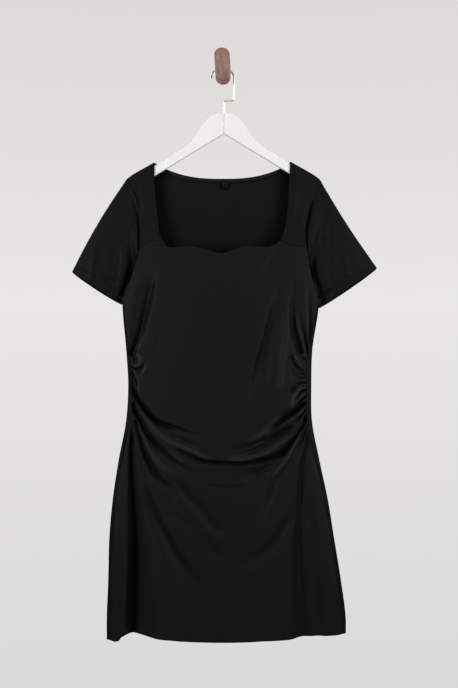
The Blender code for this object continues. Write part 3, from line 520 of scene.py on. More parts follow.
def angle_at(x, z):
    """Where x lies across the body at height z: 0 in the middle, a quarter turn at the side folds."""
    centre, half, *_ = section(z)
    return np.arcsin(np.clip((x - centre) / half, -1, 1))


def shoulder_line(x):
    """Height of the ridge over the hanger arms."""
    out = np.abs(x - SHOULDER_MIDDLE_X)
    return (
        SHOULDER_TOP
        - SHOULDER_SLOPE * (out - SHOULDER_INNER)
        - SHOULDER_BEND * np.clip(out - SHOULDER_BEND_FROM, 0, None) ** 2
    )


def back_neckline(x):
    return BACK_NECK_LOW + BACK_NECK_RISE * np.abs(x / SHOULDER_INNER) ** BACK_NECK_POWER


def creased(creases, x, z):
    """Depth of the creases at (x, z), from the exact distance to each one's line."""
    total = np.zeros(np.shape(x))
    for crease in creases:
        line = along(crease.points, np.linspace(0, 1, 6 * len(crease.points)))
        shares = reached(line)
        widths = np.broadcast_to(crease.width, 3)
        depths = np.broadcast_to(crease.depth, 3)
        reach = CREASE_REACH * widths.max()
        near = (
            (x > line[:, 0].min() - reach)
            & (x < line[:, 0].max() + reach)
            & (z > line[:, 1].min() - reach)
            & (z < line[:, 1].max() + reach)
        )
        if not near.any():
            continue
        spot = np.stack([x[near], z[near]], axis=-1)[:, None]
        start, step = line[:-1], np.diff(line, axis=0)
        t = np.clip(((spot - start) * step).sum(-1) / (step**2).sum(-1), 0, 1)
        off = spot - start - t[..., None] * step
        gap = np.hypot(off[..., 0], off[..., 1])
        nearest = gap.argmin(axis=1)
        rows = np.arange(len(nearest))
        gap = gap[rows, nearest]
        side = np.sign(step[nearest, 0] * off[rows, nearest, 1] - step[nearest, 1] * off[rows, nearest, 0])
        share = shares[nearest] + t[rows, nearest] * np.diff(shares)[nearest]
        fade = np.ones_like(share)
        if crease.start:
            fade *= ease(share / crease.start)
        if crease.end:
            fade *= ease((1 - share) / crease.end)
        width = np.interp(share, (0, 0.5, 1), widths)
        depth = np.interp(share, (0, 0.5, 1), depths)
        if crease.ridge:
            toward = gap * side * np.sign(crease.ridge)
            off_core = toward - CORE_AT * width
            lean = np.where(off_core > 0, STEEP_SIDE, GENTLE_SIDE)
            made = depth * bell(off_core, width * lean)
            made -= abs(crease.ridge) * bell(toward - RIDGE_AT * width, width)
        else:
            made = depth * bell(gap, width)
        total[near] += fade * made
    return total


def body(angle, z, facing):
    """Middle surface of the body's cloth in front (facing 1) or behind (-1), with the creases of its form."""
    angle, z = np.asarray(angle, float), np.asarray(z, float)
    centre, half, front, side, back = section(z)
    lean = np.cos(angle) * facing
    bulge = np.where(
        lean > 0,
        (front - side) * np.abs(lean) ** FRONT_ROUNDNESS,
        (back - side) * np.abs(lean) ** BACK_ROUNDNESS,
    )
    x, y = centre + half * np.sin(angle), side + bulge
    off = np.abs(y - HANGER_Y)
    held_off = (off + CLOTH_ON_HANGER + np.sqrt((off - CLOTH_ON_HANGER) ** 2 + HANGER_SOFT**2)) / 2
    over_hanger = HANGER_Y + np.where(y < HANGER_Y, -1, 1) * held_off
    y = y + (over_hanger - y) * ease((z - HANGER_TAKES_OVER) / (HANGER_HOLDS - HANGER_TAKES_OVER))
    below = np.clip((shoulder_line(x) - z) / SHOULDER_ROUND, 0, 1)
    y = HANGER_Y + (y - HANGER_Y) * np.sqrt(1 - (1 - below) ** 2)
    folded = np.where(lean > 0, creased(FRONT_FORM, x, z), -creased(BACK_FORM, x, z))
    return np.stack([x, y + folded * ease(np.abs(lean) / FOLD_EASE), z], axis=-1)


def coons(top, bottom, left, right, u, v):
    """Points of a four-sided patch between its edges, given at the shares u across and v down."""
    u, v = u[None, :, None], v[:, None, None]
    across = (1 - v) * top[None] + v * bottom[None]
    down = (1 - u) * left[:, None] + u * right[:, None]
    corners = (1 - v) * ((1 - u) * top[0] + u * top[-1]) + v * ((1 - u) * bottom[0] + u * bottom[-1])
    return across + down - corners


def to_angles(points):
    """(x, z) points as (angle, z)."""
    return np.stack([angle_at(points[:, 0], points[:, 1]), points[:, 1]], axis=-1)


def graded(*zones):
    """Shares down a line of (length, step) zones, in millimetres."""
    marks = [0.0]
    for length, step in zones:
        count = round(length / step)
        marks.extend(marks[-1] + length / count * np.arange(1, count + 1))
    return np.asarray(marks) / marks[-1]


# Rows and columns of the panels: fine over the hanger and beside the gathers
STRAP_ROWS = graded((8, 0.8), (22, 2.0), (135, 3.2))
FRONT_HOLE_ROWS = graded((110, 3.7))
BACK_HOLE_ROWS = graded((8, 0.8), (22, 2.0), (245, 4.4))
SEAM_ROWS = graded((102, 3.6), (150, 1.5), (130, 2.1), (90, 3.0), (220, 6.0))
STRAP_COLUMNS = graded((38, 2.0), (12, 1.2))
FRONT_NECK_COLUMNS = graded((70, 2.5), (100, 4.8), (70, 2.5))
BACK_NECK_COLUMNS = graded((16, 2.2), (242, 4.8), (16, 2.2))
SLEEVE_ROWS = graded((30, 2.4), (125, 3.2), (45, 2.6))


def shoulder_point(side):
    x = SHOULDER_X[side]
    return (x, float(shoulder_line(x)))


def outward_of(side):
    return -1 if side == "left" else 1


def front_armhole(side):
    """(x, z) down the front of the armhole: the strap's rows, and then the front panel's."""
    line = [shoulder_point(side), *((row.front, row.z) for row in ARMHOLE[side]), UNDERARM[side]]
    strap_end = reached(line)[STRAP_END_ROW + 1]
    return along(line, STRAP_ROWS * strap_end), along(line, strap_end + FRONT_HOLE_ROWS * (1 - strap_end))


def back_armhole(side):
    """(angle, z) down the back of the armhole, to the underarm on the side fold."""
    hole = [shoulder_point(side), *((row.back, row.z) for row in ARMHOLE[side])]
    hole = [(float(angle_at(x, z)), z) for x, z in hole]
    hole.append((outward_of(side) * math.pi / 2, UNDERARM[side][1]))
    return along([(angle * RADIAN_LENGTH, z) for angle, z in hole], BACK_HOLE_ROWS) / (RADIAN_LENGTH, 1)


def side_seam(side):
    """(x, z) down the side seam."""
    middle = [(getattr(row, side), row.z) for row in SIDE_SEAM]
    return along([UNDERARM[side], *middle, SEAM_END[side]], SEAM_ROWS)


def seam_x(side, z):
    """x of the side seam at the heights z."""
    line = side_seam(side)[::-1]
    return np.interp(z, line[:, 1], line[:, 0])


# ---------------------------------------------------------------- grids of points
def facing_out(grid, closed=False):
    """Unit normals of a grid: across the cloth, the way that columns times rows point."""
    if closed:
        wrapped = np.concatenate([grid[:, -1:], grid, grid[:, :1]], axis=1)
        across = (wrapped[:, 2:] - wrapped[:, :-2]) / 2
    else:
        across = np.gradient(grid, axis=1)
    normal = np.cross(across, np.gradient(grid, axis=0))
    return normal / np.maximum(np.linalg.norm(normal, axis=-1, keepdims=True), 1e-9)


Panel = namedtuple("Panel", "points normals")  # normals point out of the body


def held_under(value, limit, soft):
    """value, softly kept from rising past limit."""
    over = value - limit
    return limit + (over - np.sqrt(over**2 + soft**2)) / 2


def front_panel():
    """Columns run in +X, and rows from the neckline and strap seams to the hem."""
    left = np.concatenate([front_armhole("left")[1], side_seam("left")[1:]])
    right = np.concatenate([front_armhole("right")[1], side_seam("right")[1:]])
    left_seam, right_seam = (along(STRAP_SEAM[side], STRAP_COLUMNS) for side in ("left", "right"))
    neck = along(FRONT_NECK, FRONT_NECK_COLUMNS)
    top = np.concatenate([left_seam[::-1], neck[1:-1], right_seam])
    u = reached(top)
    edges = [to_angles(points) for points in (top, along(FRONT_HEM, u), left, right)]
    flat = coons(*edges, u, (reached(left) + reached(right)) / 2)
    grid = body(flat[..., 0], flat[..., 1], 1)
    x, z = grid[..., 0], grid[..., 2]
    for side, creases in GATHERS.items():
        inward = (seam_x(side, z) - x) * outward_of(side)
        grid[..., 1] += creased(creases, x, z) * ease(inward / SEAM_FADE)
    behind = body(flat[..., 0], flat[..., 1], -1)[..., 1] - BACK_CLEARANCE
    held = held_under(grid[..., 1], behind, CLEARANCE_SOFT)
    inside_folds = ease((np.cos(flat[..., 0]) - FOLD_EASE / 2) / (FOLD_EASE / 2))
    grid[..., 1] += (held - grid[..., 1]) * inside_folds
    return Panel(grid, -facing_out(grid))


def back_edge(side):
    """(angle, z) down the back panel's side edge, which comes round to the side seam in front."""
    seam = side_seam(side)[1:]
    round_side = outward_of(side) * math.pi - angle_at(seam[:, 0], seam[:, 1])
    return np.concatenate([back_armhole(side), np.stack([round_side, seam[:, 1]], axis=-1)])


def shoulder_seam(side, shares):
    """(x, z) along the shoulder seam, from the neck to the armhole."""
    x = NECK_X[side] + (SHOULDER_X[side] - NECK_X[side]) * shares
    return np.stack([x, shoulder_line(x)], axis=-1)


def back_panel():
    """Columns run in +X and come round both sides to the side seams, rows from the neckline to the hem."""
    left_seam, right_seam = (shoulder_seam(side, STRAP_COLUMNS) for side in ("left", "right"))
    neck_x = left_seam[0, 0] + (right_seam[0, 0] - left_seam[0, 0]) * BACK_NECK_COLUMNS[1:-1]
    neck = np.stack([neck_x, back_neckline(neck_x)], axis=-1)
    top = np.concatenate([left_seam[::-1], neck, right_seam])
    u = reached(top)
    left, right = back_edge("left"), back_edge("right")
    hem_x, hem_z = np.asarray(BACK_HEM).T
    angles = left[-1, 0] + (right[-1, 0] - left[-1, 0]) * u
    bottom = np.stack([angles, smooth(hem_x[-1] * np.sin(angles), hem_x, hem_z)], axis=-1)
    bottom[0], bottom[-1] = left[-1], right[-1]
    v = (reached(left * (RADIAN_LENGTH, 1)) + reached(right * (RADIAN_LENGTH, 1))) / 2
    flat = coons(to_angles(top), bottom, left, right, u, v)
    grid = body(flat[..., 0], flat[..., 1], -1)
    grid[..., 1] = held_under(grid[..., 1], -WALL_CLEARANCE, WALL_SOFT)
    return Panel(grid, facing_out(grid))


def strap_panel(side):
    """Columns run in +X, and rows from the shoulder to the strap seam."""
    neck = along([(NECK_X[side], shoulder_line(NECK_X[side])), *NECK_SIDE[side]], STRAP_ROWS)
    hole = front_armhole(side)[0]
    lines = (shoulder_seam(side, STRAP_COLUMNS), along(STRAP_SEAM[side], STRAP_COLUMNS), neck, hole)
    flat = coons(*(to_angles(points) for points in lines), STRAP_COLUMNS, STRAP_ROWS)
    grid = body(flat[..., 0], flat[..., 1], 1)
    if side == "left":
        grid = grid[:, ::-1]
    normals = -facing_out(grid)
    grid = grid - normals * creased(STRAP_CREASES[side], grid[..., 0], grid[..., 2])[..., None]
    return Panel(grid, -facing_out(grid))


def armhole_ring(side):
    """Points round the armhole, from the underarm up the front to the shoulder and down the back, and how
    far each is round: half a turn at the shoulder."""
    strap, panel = front_armhole(side)
    front = np.concatenate([strap, panel[1:]])[::-1]
    back = back_armhole(side)
    turns = [reached(front), 1 + reached(back * (RADIAN_LENGTH, 1))[1:-1]]
    front, back = to_angles(front), back[1:-1]
    ring = [body(front[:, 0], front[:, 1], 1), body(back[:, 0], back[:, 1], -1)]
    return np.concatenate(ring), math.pi * np.concatenate(turns)


SLEEVE_FULLNESS = 0.8  # power of the sine round a sleeve: 1 is an ellipse, less is fuller
BOW_OUT, BOW_UP, BOW_SPREAD = 0.86, 0.5, 0.5  # the way a sleeve's top bows, and the share of its height
# Where its front sinks, as shares of half a turn round it and of its length
RECESS_TURN, RECESS_TURN_SPREAD = 0.3, 0.22
RECESS_DOWN, RECESS_SPREAD, RECESS_START = 0.14, 0.12, 0.04
UNDERARM_SPREAD = 0.26  # how far round it the lift at the underarm reaches, as a sine
# Creases fade near its folds, as a sine, and at the armhole, as shares of its length
SLEEVE_FRONT_EASE, SLEEVE_BACK_EASE = 0.25, 0.35
FRONT_CREASES_FROM, BACK_CREASES_FROM = 0.02, 0.05
HELD_FROM = 2.0  # depth of crease from which the sleeve's back holds its front


def sleeve_panel(side):
    """A tube from the armhole to the sleeve hem. Columns run round it and aren't repeated at the end."""
    sleeve, out = SLEEVES[side], outward_of(side)
    start, turn = armhole_ring(side)
    up = (1 - np.cos(turn)) / 2
    tip, under = np.asarray(sleeve.tip), np.asarray(sleeve.under)
    round_it = np.sign(np.sin(turn)) * np.abs(np.sin(turn)) ** SLEEVE_FULLNESS
    y = HANGER_Y - SLEEVE_HALF_DEPTH * round_it
    end = np.stack([under[0] + (tip[0] - under[0]) * up, y, under[1] + (tip[1] - under[1]) * up], axis=-1)
    t = SLEEVE_ROWS[:, None]
    grid = start[None] + (end - start)[None] * t[..., None]
    over_arm = bell(up - 1, BOW_SPREAD) * np.sin(math.pi * t) * sleeve.bow
    grid[..., 0] += out * over_arm * BOW_OUT
    grid[..., 2] += over_arm * BOW_UP
    low_front = bell(turn / math.pi - RECESS_TURN, RECESS_TURN_SPREAD)
    valley = bell(t - RECESS_DOWN, RECESS_SPREAD) * (1 - bell(t, RECESS_START))
    grid[..., 1] += sleeve.recess * low_front * valley
    back_hem = np.clip(-np.sin(turn), 0, 1) * t**2 * BACK_HEM_DROP
    grid[..., 0] += out * HEM_DROP_OUT * back_hem
    grid[..., 2] -= HEM_DROP_DOWN * back_hem
    grid[..., 0] += out * UNDERARM_LIFT * bell(np.sin(turn / 2), UNDERARM_SPREAD) * (1 - t)
    normals = facing_out(grid, closed=True)
    normals *= np.sign(((grid - grid.mean(axis=1, keepdims=True)) * normals).sum(-1).mean())
    x, z = grid[..., 0], grid[..., 2]
    in_front = np.sin(turn) > 0
    front = creased(SLEEVE_CREASES[side], x, z) * ease(np.sin(turn) / SLEEVE_FRONT_EASE)
    front *= ease(t / FRONT_CREASES_FROM)
    back = creased(SLEEVE_BACK_CREASES[side], x, z) * ease(-np.sin(turn) / SLEEVE_BACK_EASE)
    back *= ease(t / BACK_CREASES_FROM)
    y = grid[..., 1]
    order = np.argsort(up[~in_front])
    behind = np.stack([np.interp(up, up[~in_front][order], row[~in_front][order]) for row in y])
    sunk = y + front
    held = held_under(sunk, behind - BACK_CLEARANCE, CLEARANCE_SOFT)
    grid[..., 1] = np.where(in_front, sunk + (held - sunk) * ease(front / HELD_FROM), y) - back
    sign = np.sign((facing_out(grid, closed=True) * normals).sum(-1).mean())
    return Panel(grid, sign * facing_out(grid, closed=True))


# ---------------------------------------------------------------- edges
def lengths(points, axis=1):
    """Distance from the first point to each, along the rows, or down the columns for axis 0."""
    steps = np.linalg.norm(np.diff(points, axis=axis), axis=-1)
    return np.concatenate([np.zeros_like(steps.take([0], axis)), np.cumsum(steps, axis=axis)], axis=axis)


def read_at(distances, reach, vectors):
    """Each row of vectors, whose points are at the distances reach, read at other distances."""
    return np.stack([
        np.stack([np.interp(wanted, known, column) for column in row.T], axis=-1)
        for wanted, known, row in zip(distances, reach, vectors)
    ])


END_GAP = 0.6  # millimetres from the end of an edge's path to the panel's next column


def edged(panel, path):
    """The panel with its first columns replaced by a path from inside the edge to its outer face. path is
    (distance, depth) rows, or one such list a row of the panel."""
    points, normals = panel
    path = np.broadcast_to(path, (len(points), *np.shape(path)[-2:]))
    reach = lengths(points)
    end_of_path = path[:, -1:, 0] + END_GAP
    first = int(np.argmax((reach > end_of_path).any(axis=0)))
    rest, last = reach[:, first:], reach[:, -1:]
    start = np.maximum(rest[:, :1], end_of_path)
    rest = start + (rest - rest[:, :1]) * (last - start) / (last - rest[:, :1])
    at = np.concatenate([path[..., 0], rest], axis=1)
    depth = np.concatenate([path[..., 1], np.zeros_like(rest)], axis=1)
    points, normals = read_at(at, reach, points), read_at(at, reach, normals)
    normals /= np.linalg.norm(normals, axis=-1, keepdims=True)
    return Panel(points - normals * depth[..., None], normals)


def turned(panel, edge, back=False):
    """The panel seen with the named edge on its left, or turned back again."""
    turns = []
    if edge in ("top", "bottom"):
        turns.append(lambda array: array.transpose(1, 0, 2))
    if edge in ("right", "bottom"):
        turns.append(lambda array: array[:, ::-1])
    for turn in turns[::-1] if back else turns:
        panel = Panel(*map(turn, panel))
    return panel


def with_edges(panel, **paths):
    """The panel with the named edges made along their paths, one after the other."""
    for edge, path in paths.items():
        panel = turned(edged(turned(panel, edge), path), edge, back=True)
    return panel


def line_on(panel, edge, distance, lift=CLOTH / 2 - 0.2):
    """Points and normals of a line at a distance from an edge, lifted off the panel's middle surface."""
    points, normals = turned(panel, edge)
    wanted, reach = np.full((len(points), 1), distance), lengths(points)
    points, normals = (read_at(wanted, reach, vectors)[:, 0] for vectors in (points, normals))
    return points + normals * lift, normals


def lengthened(path, rows, step=1.2):
    """The path with as many rows as another, by going on from its last one in small steps."""
    (distance, depth), missing = path[-1], rows - len(path)
    return [*path, *((distance + step * (i + 1), depth) for i in range(missing))]


def with_top(panel, seam_path, neck_path):
    """The panel with its top edge made: a neckline between the seams of the two straps."""
    rows = max(len(seam_path), len(neck_path))
    seam, neck = lengthened(seam_path, rows), lengthened(neck_path, rows)
    in_strap = len(STRAP_COLUMNS) - 1
    at_neck = panel.points.shape[1] - 2 * in_strap
    return with_edges(panel, top=[seam] * in_strap + [neck] * at_neck + [seam] * in_strap)


# ---------------------------------------------------------------- materials
def new_material(name, colour, roughness, metallic=0.0, specular=0.5):
    """A plain material, for Nodes to add to."""
    made = bpy.data.materials.new(name)
    made.use_nodes = True
    shader = made.node_tree.nodes["Principled BSDF"]
    shader.inputs["Base Color"].default_value = (*colour, 1.0)
    shader.inputs["Roughness"].default_value = roughness
    shader.inputs["Metallic"].default_value = metallic
    shader.inputs["Specular IOR Level"].default_value = specular
    return made


class Nodes:
    """Adds nodes to a material or a world. A value that is another node's socket is linked, not set."""

    def __init__(self, owner):
        self.tree = owner.node_tree

    def give(self, value, socket):
        if isinstance(value, bpy.types.NodeSocket):
            self.tree.links.new(value, socket)
        else:
            socket.default_value = value

    def add(self, kind, inputs=None, **settings):
        node = self.tree.nodes.new(kind)
        for key, value in settings.items():
            setattr(node, key, value)
        for key, value in (inputs or {}).items():
            self.give(value, node.inputs[key])
        return node

    def maths(self, operation, *values):
        return self.add("ShaderNodeMath", dict(enumerate(values)), operation=operation).outputs[0]

    def object_coordinates(self):
        return self.add("ShaderNodeTexCoord").outputs["Object"]

    def cloth(self):
        """The place on the cloth, and its distances across and down, in metres."""
        place = self.add("ShaderNodeAttribute", attribute_name="cloth").outputs["Vector"]
        split = self.add("ShaderNodeSeparateXYZ", {"Vector": place})
        return place, split.outputs["X"], split.outputs["Y"]

    def turns(self, distance, period):
        """Angle that goes once round in each period, in millimetres."""
        return self.maths("MULTIPLY", distance, 2 * math.pi / period / MM)

    def noise(self, place, scale, detail=2.0, roughness=0.5):
        inputs = {"Vector": place, "Scale": scale, "Detail": detail, "Roughness": roughness}
        return self.add("ShaderNodeTexNoise", inputs).outputs["Fac"]

    def drawn_out(self, place, scales, detail, roughness=0.5):
        """Noise with its own scale along each axis."""
        scaled = self.add("ShaderNodeMapping", {"Vector": place, "Scale": scales}).outputs[0]
        return self.noise(scaled, 1.0, detail, roughness)

    def bump(self, height, strength, distance, normal=None):
        inputs = {"Height": height, "Strength": strength, "Distance": distance}
        if normal is not None:
            inputs["Normal"] = normal
        return self.add("ShaderNodeBump", inputs).outputs["Normal"]

    def colours(self, factor, *stops):
        """Colour of the factor, between stops of (factor, colour)."""
        ramp = self.add("ShaderNodeValToRGB", {"Fac": factor})
        elements = ramp.color_ramp.elements
        elements[0].position, elements[-1].position = stops[0][0], stops[-1][0]
        elements[0].color, elements[-1].color = (*stops[0][1], 1), (*stops[-1][1], 1)
        for position, colour in stops[1:-1]:
            elements.new(position).color = (*colour, 1)
        return ramp.outputs["Color"]

    def two_tone(self, noise, dark, pale):
        return self.colours(noise, (0.3, dark), (0.7, pale))

    def mixed(self, factor, first, second, blend="MIX"):
        """Two colours mixed; sockets 6 and 7 are the Mix node's colours A and B."""
        inputs = {"Factor": factor, 6: first, 7: second}
        return self.add("ShaderNodeMix", inputs, data_type="RGBA", blend_type=blend).outputs[2]

    def into(self, output, socket):
        self.tree.links.new(output, self.tree.nodes["Principled BSDF"].inputs[socket])


# Jersey stretched over a gathered ridge of this height is this much smoother, and its black is painted this
# much paler there as a painted highlight
PULLED_RISE, PULLED_SMOOTH, RIDGE_HIGHLIGHT_PALER = 4.0, 0.16, 2.1
STRAP_PAINTED_SHADE, SLEEVE_PAINTED_SHADE, BACK_PAINTED_SHADE = 0.9, 0.88, 0.9  # the same black made darker on a panel than on the front: painted shade
JERSEY_SPECULAR, JERSEY_BLACK = 0.05, 0.0168
JERSEY_ROUGH, JERSEY_ROUGH_CHANGE = 0.45, 0.10
# Colours of the darkest and palest jersey, against its black
JERSEY_DARK, JERSEY_PALE = (0.97, 0.965, 0.98), (1.03, 1.02, 1.03)
WALE, COURSE = 0.62, 0.48  # millimetres between the knit's columns and rows of loops
WALE_HEIGHT, COURSE_HEIGHT, COURSE_LEAN = 0.5, 0.35, 1.1
TWILL_RIB, SATIN_THREAD = 0.7, 0.35  # millimetres between the ribs of the tape and the threads of the label


def jersey(name, tone=1.0):
    """Fine black jersey: columns of loops, soft creasing, a slight change of black and of gloss, a painted
    highlight along gathered ridges, and the panel's painted shade.
    """
    made = new_material(name, (0.0065, 0.0062, 0.0066), 0.6, specular=JERSEY_SPECULAR)
    nodes = Nodes(made)
    place = nodes.object_coordinates()
    _, across, down = nodes.cloth()
    wale = nodes.maths("SINE", nodes.turns(across, WALE))
    lean = nodes.maths("MULTIPLY", nodes.maths("ABSOLUTE", wale), COURSE_LEAN)
    course = nodes.maths("SINE", nodes.maths("ADD", nodes.turns(down, COURSE), lean))
    loops = nodes.maths("MULTIPLY_ADD", course, COURSE_HEIGHT, nodes.maths("MULTIPLY", wale, WALE_HEIGHT))
    wrinkle = nodes.drawn_out(place, (26.0, 26.0, 15.0), 3.0, 0.55)
    broad = nodes.drawn_out(place, (8.0, 8.0, 5.0), 2.0)
    fuzz = nodes.noise(place, 1500.0, 2.0, 0.6)

    # tone is the panel's painted shade: the front's black made darker for the back, straps and sleeves
    shade = JERSEY_BLACK * tone
    dark, pale = ([part * shade for part in colour] for colour in (JERSEY_DARK, JERSEY_PALE))
    black = nodes.two_tone(nodes.noise(place, 60.0, 4.0, 0.6), dark, pale)
    pulled_and_highlight = nodes.add("ShaderNodeAttribute", attribute_name="pulled_and_highlight").outputs["Fac"]
    # A paler black where the cloth lies on gathered ridges: a painted highlight
    nodes.into(nodes.mixed(pulled_and_highlight, black, (*[RIDGE_HIGHLIGHT_PALER * shade] * 3, 1.0)), "Base Color")
    rough = nodes.maths("MULTIPLY_ADD", broad, JERSEY_ROUGH_CHANGE, JERSEY_ROUGH)
    nodes.into(nodes.maths("MULTIPLY_ADD", pulled_and_highlight, -PULLED_SMOOTH, rough), "Roughness")
    normal = nodes.bump(broad, 1.0, 2.4 * MM)
    normal = nodes.bump(wrinkle, 1.0, 0.7 * MM, normal)
    normal = nodes.bump(loops, 0.35, 0.06 * MM, normal)
    nodes.into(nodes.bump(fuzz, 0.25, 0.05 * MM, normal), "Normal")
    return made


def tape(name):
    """Black twill tape, in fine diagonal ribs."""
    made = new_material(name, (0.009, 0.009, 0.0095), 0.6, specular=0.2)
    nodes = Nodes(made)
    place, across, down = nodes.cloth()
    rib = nodes.maths("SINE", nodes.turns(nodes.maths("ADD", across, down), TWILL_RIB))
    shade = nodes.noise(place, 300.0, 3.0)
    nodes.into(nodes.two_tone(shade, (0.008, 0.008, 0.009), (0.012, 0.012, 0.0125)), "Base Color")
    nodes.into(nodes.bump(rib, 0.4, 0.1 * MM), "Normal")
    return made


def satin(name):
    """The blank label: black woven satin."""
    made = new_material(name, (0.004, 0.004, 0.0045), 0.55, specular=0.12)
    nodes = Nodes(made)
    place, _, down = nodes.cloth()
    weft = nodes.maths("SINE", nodes.turns(down, SATIN_THREAD))
    shade = nodes.noise(place, 500.0, 3.0)
    nodes.into(nodes.two_tone(shade, (0.008, 0.008, 0.0085), (0.011, 0.011, 0.0115)), "Base Color")
    nodes.into(nodes.maths("MULTIPLY_ADD", shade, 0.2, 0.45), "Roughness")
    nodes.into(nodes.bump(weft, 0.3, 0.05 * MM), "Normal")
    return made


def thread(name):
    """Twisted black sewing thread."""
    made = new_material(name, (0.010, 0.010, 0.011), 0.45, specular=0.3)
    nodes = Nodes(made)
    twist = nodes.noise(nodes.object_coordinates(), 2600.0, 2.0)
    nodes.into(nodes.two_tone(twist, (0.007, 0.007, 0.008), (0.014, 0.014, 0.015)), "Base Color")
    nodes.into(nodes.bump(twist, 0.4, 0.08 * MM), "Normal")
    return made


def painted_wood(name):
    """White satin paint on wood: brush marks, a faint grain under it, and small scuffs."""
    made = new_material(name, (0.82, 0.80, 0.79), 0.4)
    nodes = Nodes(made)
    place = nodes.object_coordinates()
    grain = nodes.drawn_out(place, (40.0, 160.0, 40.0), 5.0, 0.6)
    cloud = nodes.noise(place, 14.0, 3.0)
    scuff = nodes.noise(place, 240.0, 4.0, 0.7)
    shade = nodes.two_tone(cloud, (0.66, 0.645, 0.64), (0.705, 0.69, 0.685))
    marks = nodes.colours(scuff, (0.70, (1, 1, 1)), (0.82, (0.93, 0.92, 0.91)))
    nodes.into(nodes.mixed(1.0, shade, marks, "MULTIPLY"), "Base Color")
    nodes.into(nodes.maths("MULTIPLY_ADD", cloud, 0.18, 0.28), "Roughness")
    nodes.into(nodes.bump(grain, 0.3, 0.25 * MM), "Normal")
    return made


def brown_wood(name):
    """Stained and waxed hardwood: streaks along the grain, mottling and open pores."""
    made = new_material(name, (0.25, 0.14, 0.105), 0.5)
    nodes = Nodes(made)
    place = nodes.object_coordinates()
    streak = nodes.drawn_out(place, (260.0, 60.0, 34.0), 6.0, 0.62)
    mottle = nodes.drawn_out(place, (90.0, 90.0, 60.0), 4.0, 0.55)
    pores = nodes.drawn_out(place, (1500.0, 600.0, 220.0), 2.0)
    shade = nodes.colours(
        nodes.maths("MULTIPLY_ADD", streak, 0.55, nodes.maths("MULTIPLY", mottle, 0.45)),
        (0.34, (0.13, 0.069, 0.054)),
        (0.48, (0.198, 0.110, 0.085)),
        (0.56, (0.240, 0.135, 0.105)),
        (0.68, (0.312, 0.184, 0.146)),
    )
    dark = nodes.colours(pores, (0.28, (0.55, 0.5, 0.48)), (0.42, (1, 1, 1)))
    nodes.into(nodes.mixed(0.75, shade, dark, "MULTIPLY"), "Base Color")
    nodes.into(nodes.maths("MULTIPLY_ADD", mottle, 0.25, 0.36), "Roughness")
    normal = nodes.bump(pores, 0.35, 0.2 * MM)
    nodes.into(nodes.bump(streak, 0.3, 0.3 * MM, normal), "Normal")
    return made


def gold_wire(name):
    """Pale gold plating: drawn lines and a slight change of tone."""
    made = new_material(name, (0.78, 0.69, 0.50), 0.28, metallic=1.0)
    nodes = Nodes(made)
    place = nodes.object_coordinates()
    tone = nodes.noise(place, 120.0, 3.0)
    nodes.into(nodes.two_tone(tone, (0.72, 0.62, 0.43), (0.84, 0.76, 0.58)), "Base Color")
    nodes.into(nodes.maths("MULTIPLY_ADD", tone, 0.2, 0.2), "Roughness")
    nodes.into(nodes.bump(nodes.noise(place, 1800.0, 2.0), 0.15, 0.05 * MM), "Normal")
    return made


# ---------------------------------------------------------------- objects
# Edges that turn by more than these angles shade sharply, or are rounded
SHARP_ANGLE, BEVEL_ANGLE = math.radians(40), math.radians(50)
BEVEL_STEPS, ROUND_STEPS = 6, 96


def linked(name, mesh, material):
    """The mesh as a smooth object of the scene."""
    mesh.materials.append(material)
    mesh.shade_smooth()
    made = bpy.data.objects.new(name, mesh)
    bpy.context.scene.collection.objects.link(made)
    return made


def mesh_from(bm, name):
    """The finished bmesh as a mesh."""
    mesh = bpy.data.meshes.new(name)
    bm.to_mesh(mesh)
    bm.free()
    return mesh


def cloth_lengths(points):
    """Lengths across from the middle column and down from the first row, for the weave."""
    u = lengths(points)
    u -= u[:, [points.shape[1] // 2]]
    return np.stack([u, lengths(points, axis=0), np.zeros_like(u)], axis=-1)


def sheet_object(name, panel, material, thickness=CLOTH, closed=False, pulled_and_highlight=None):
    """The panel as a sheet with a thickness, its place on the cloth, and how high it lies on gathered ridges,
    where it is smoother and carries a painted highlight.
    """
    points = panel.points
    rows, columns = points.shape[:2]
    index = np.arange(rows * columns).reshape(rows, columns)
    if closed:
        index = np.concatenate([index, index[:, :1]], axis=1)
    quads = np.stack([index[:-1, :-1], index[:-1, 1:], index[1:, 1:], index[1:, :-1]], axis=-1)
    if (facing_out(points, closed) * panel.normals).sum() < 0:
        quads = quads[..., ::-1]
    mesh = bpy.data.meshes.new(name)
    mesh.from_pydata((points.reshape(-1, 3) * MM).tolist(), [], quads.reshape(-1, 4).tolist())
    weave = mesh.attributes.new("cloth", "FLOAT_VECTOR", "POINT")
    weave.data.foreach_set("vector", (cloth_lengths(points) * MM).astype(np.float32).ravel())
    if pulled_and_highlight is not None:
        tight = mesh.attributes.new("pulled_and_highlight", "FLOAT", "POINT")
        tight.data.foreach_set("value", pulled_and_highlight.astype(np.float32).ravel())
    made = linked(name, mesh, material)
    wall = made.modifiers.new("Wall", "SOLIDIFY")
    wall.thickness = thickness * MM
    wall.offset = 0.0
    return made


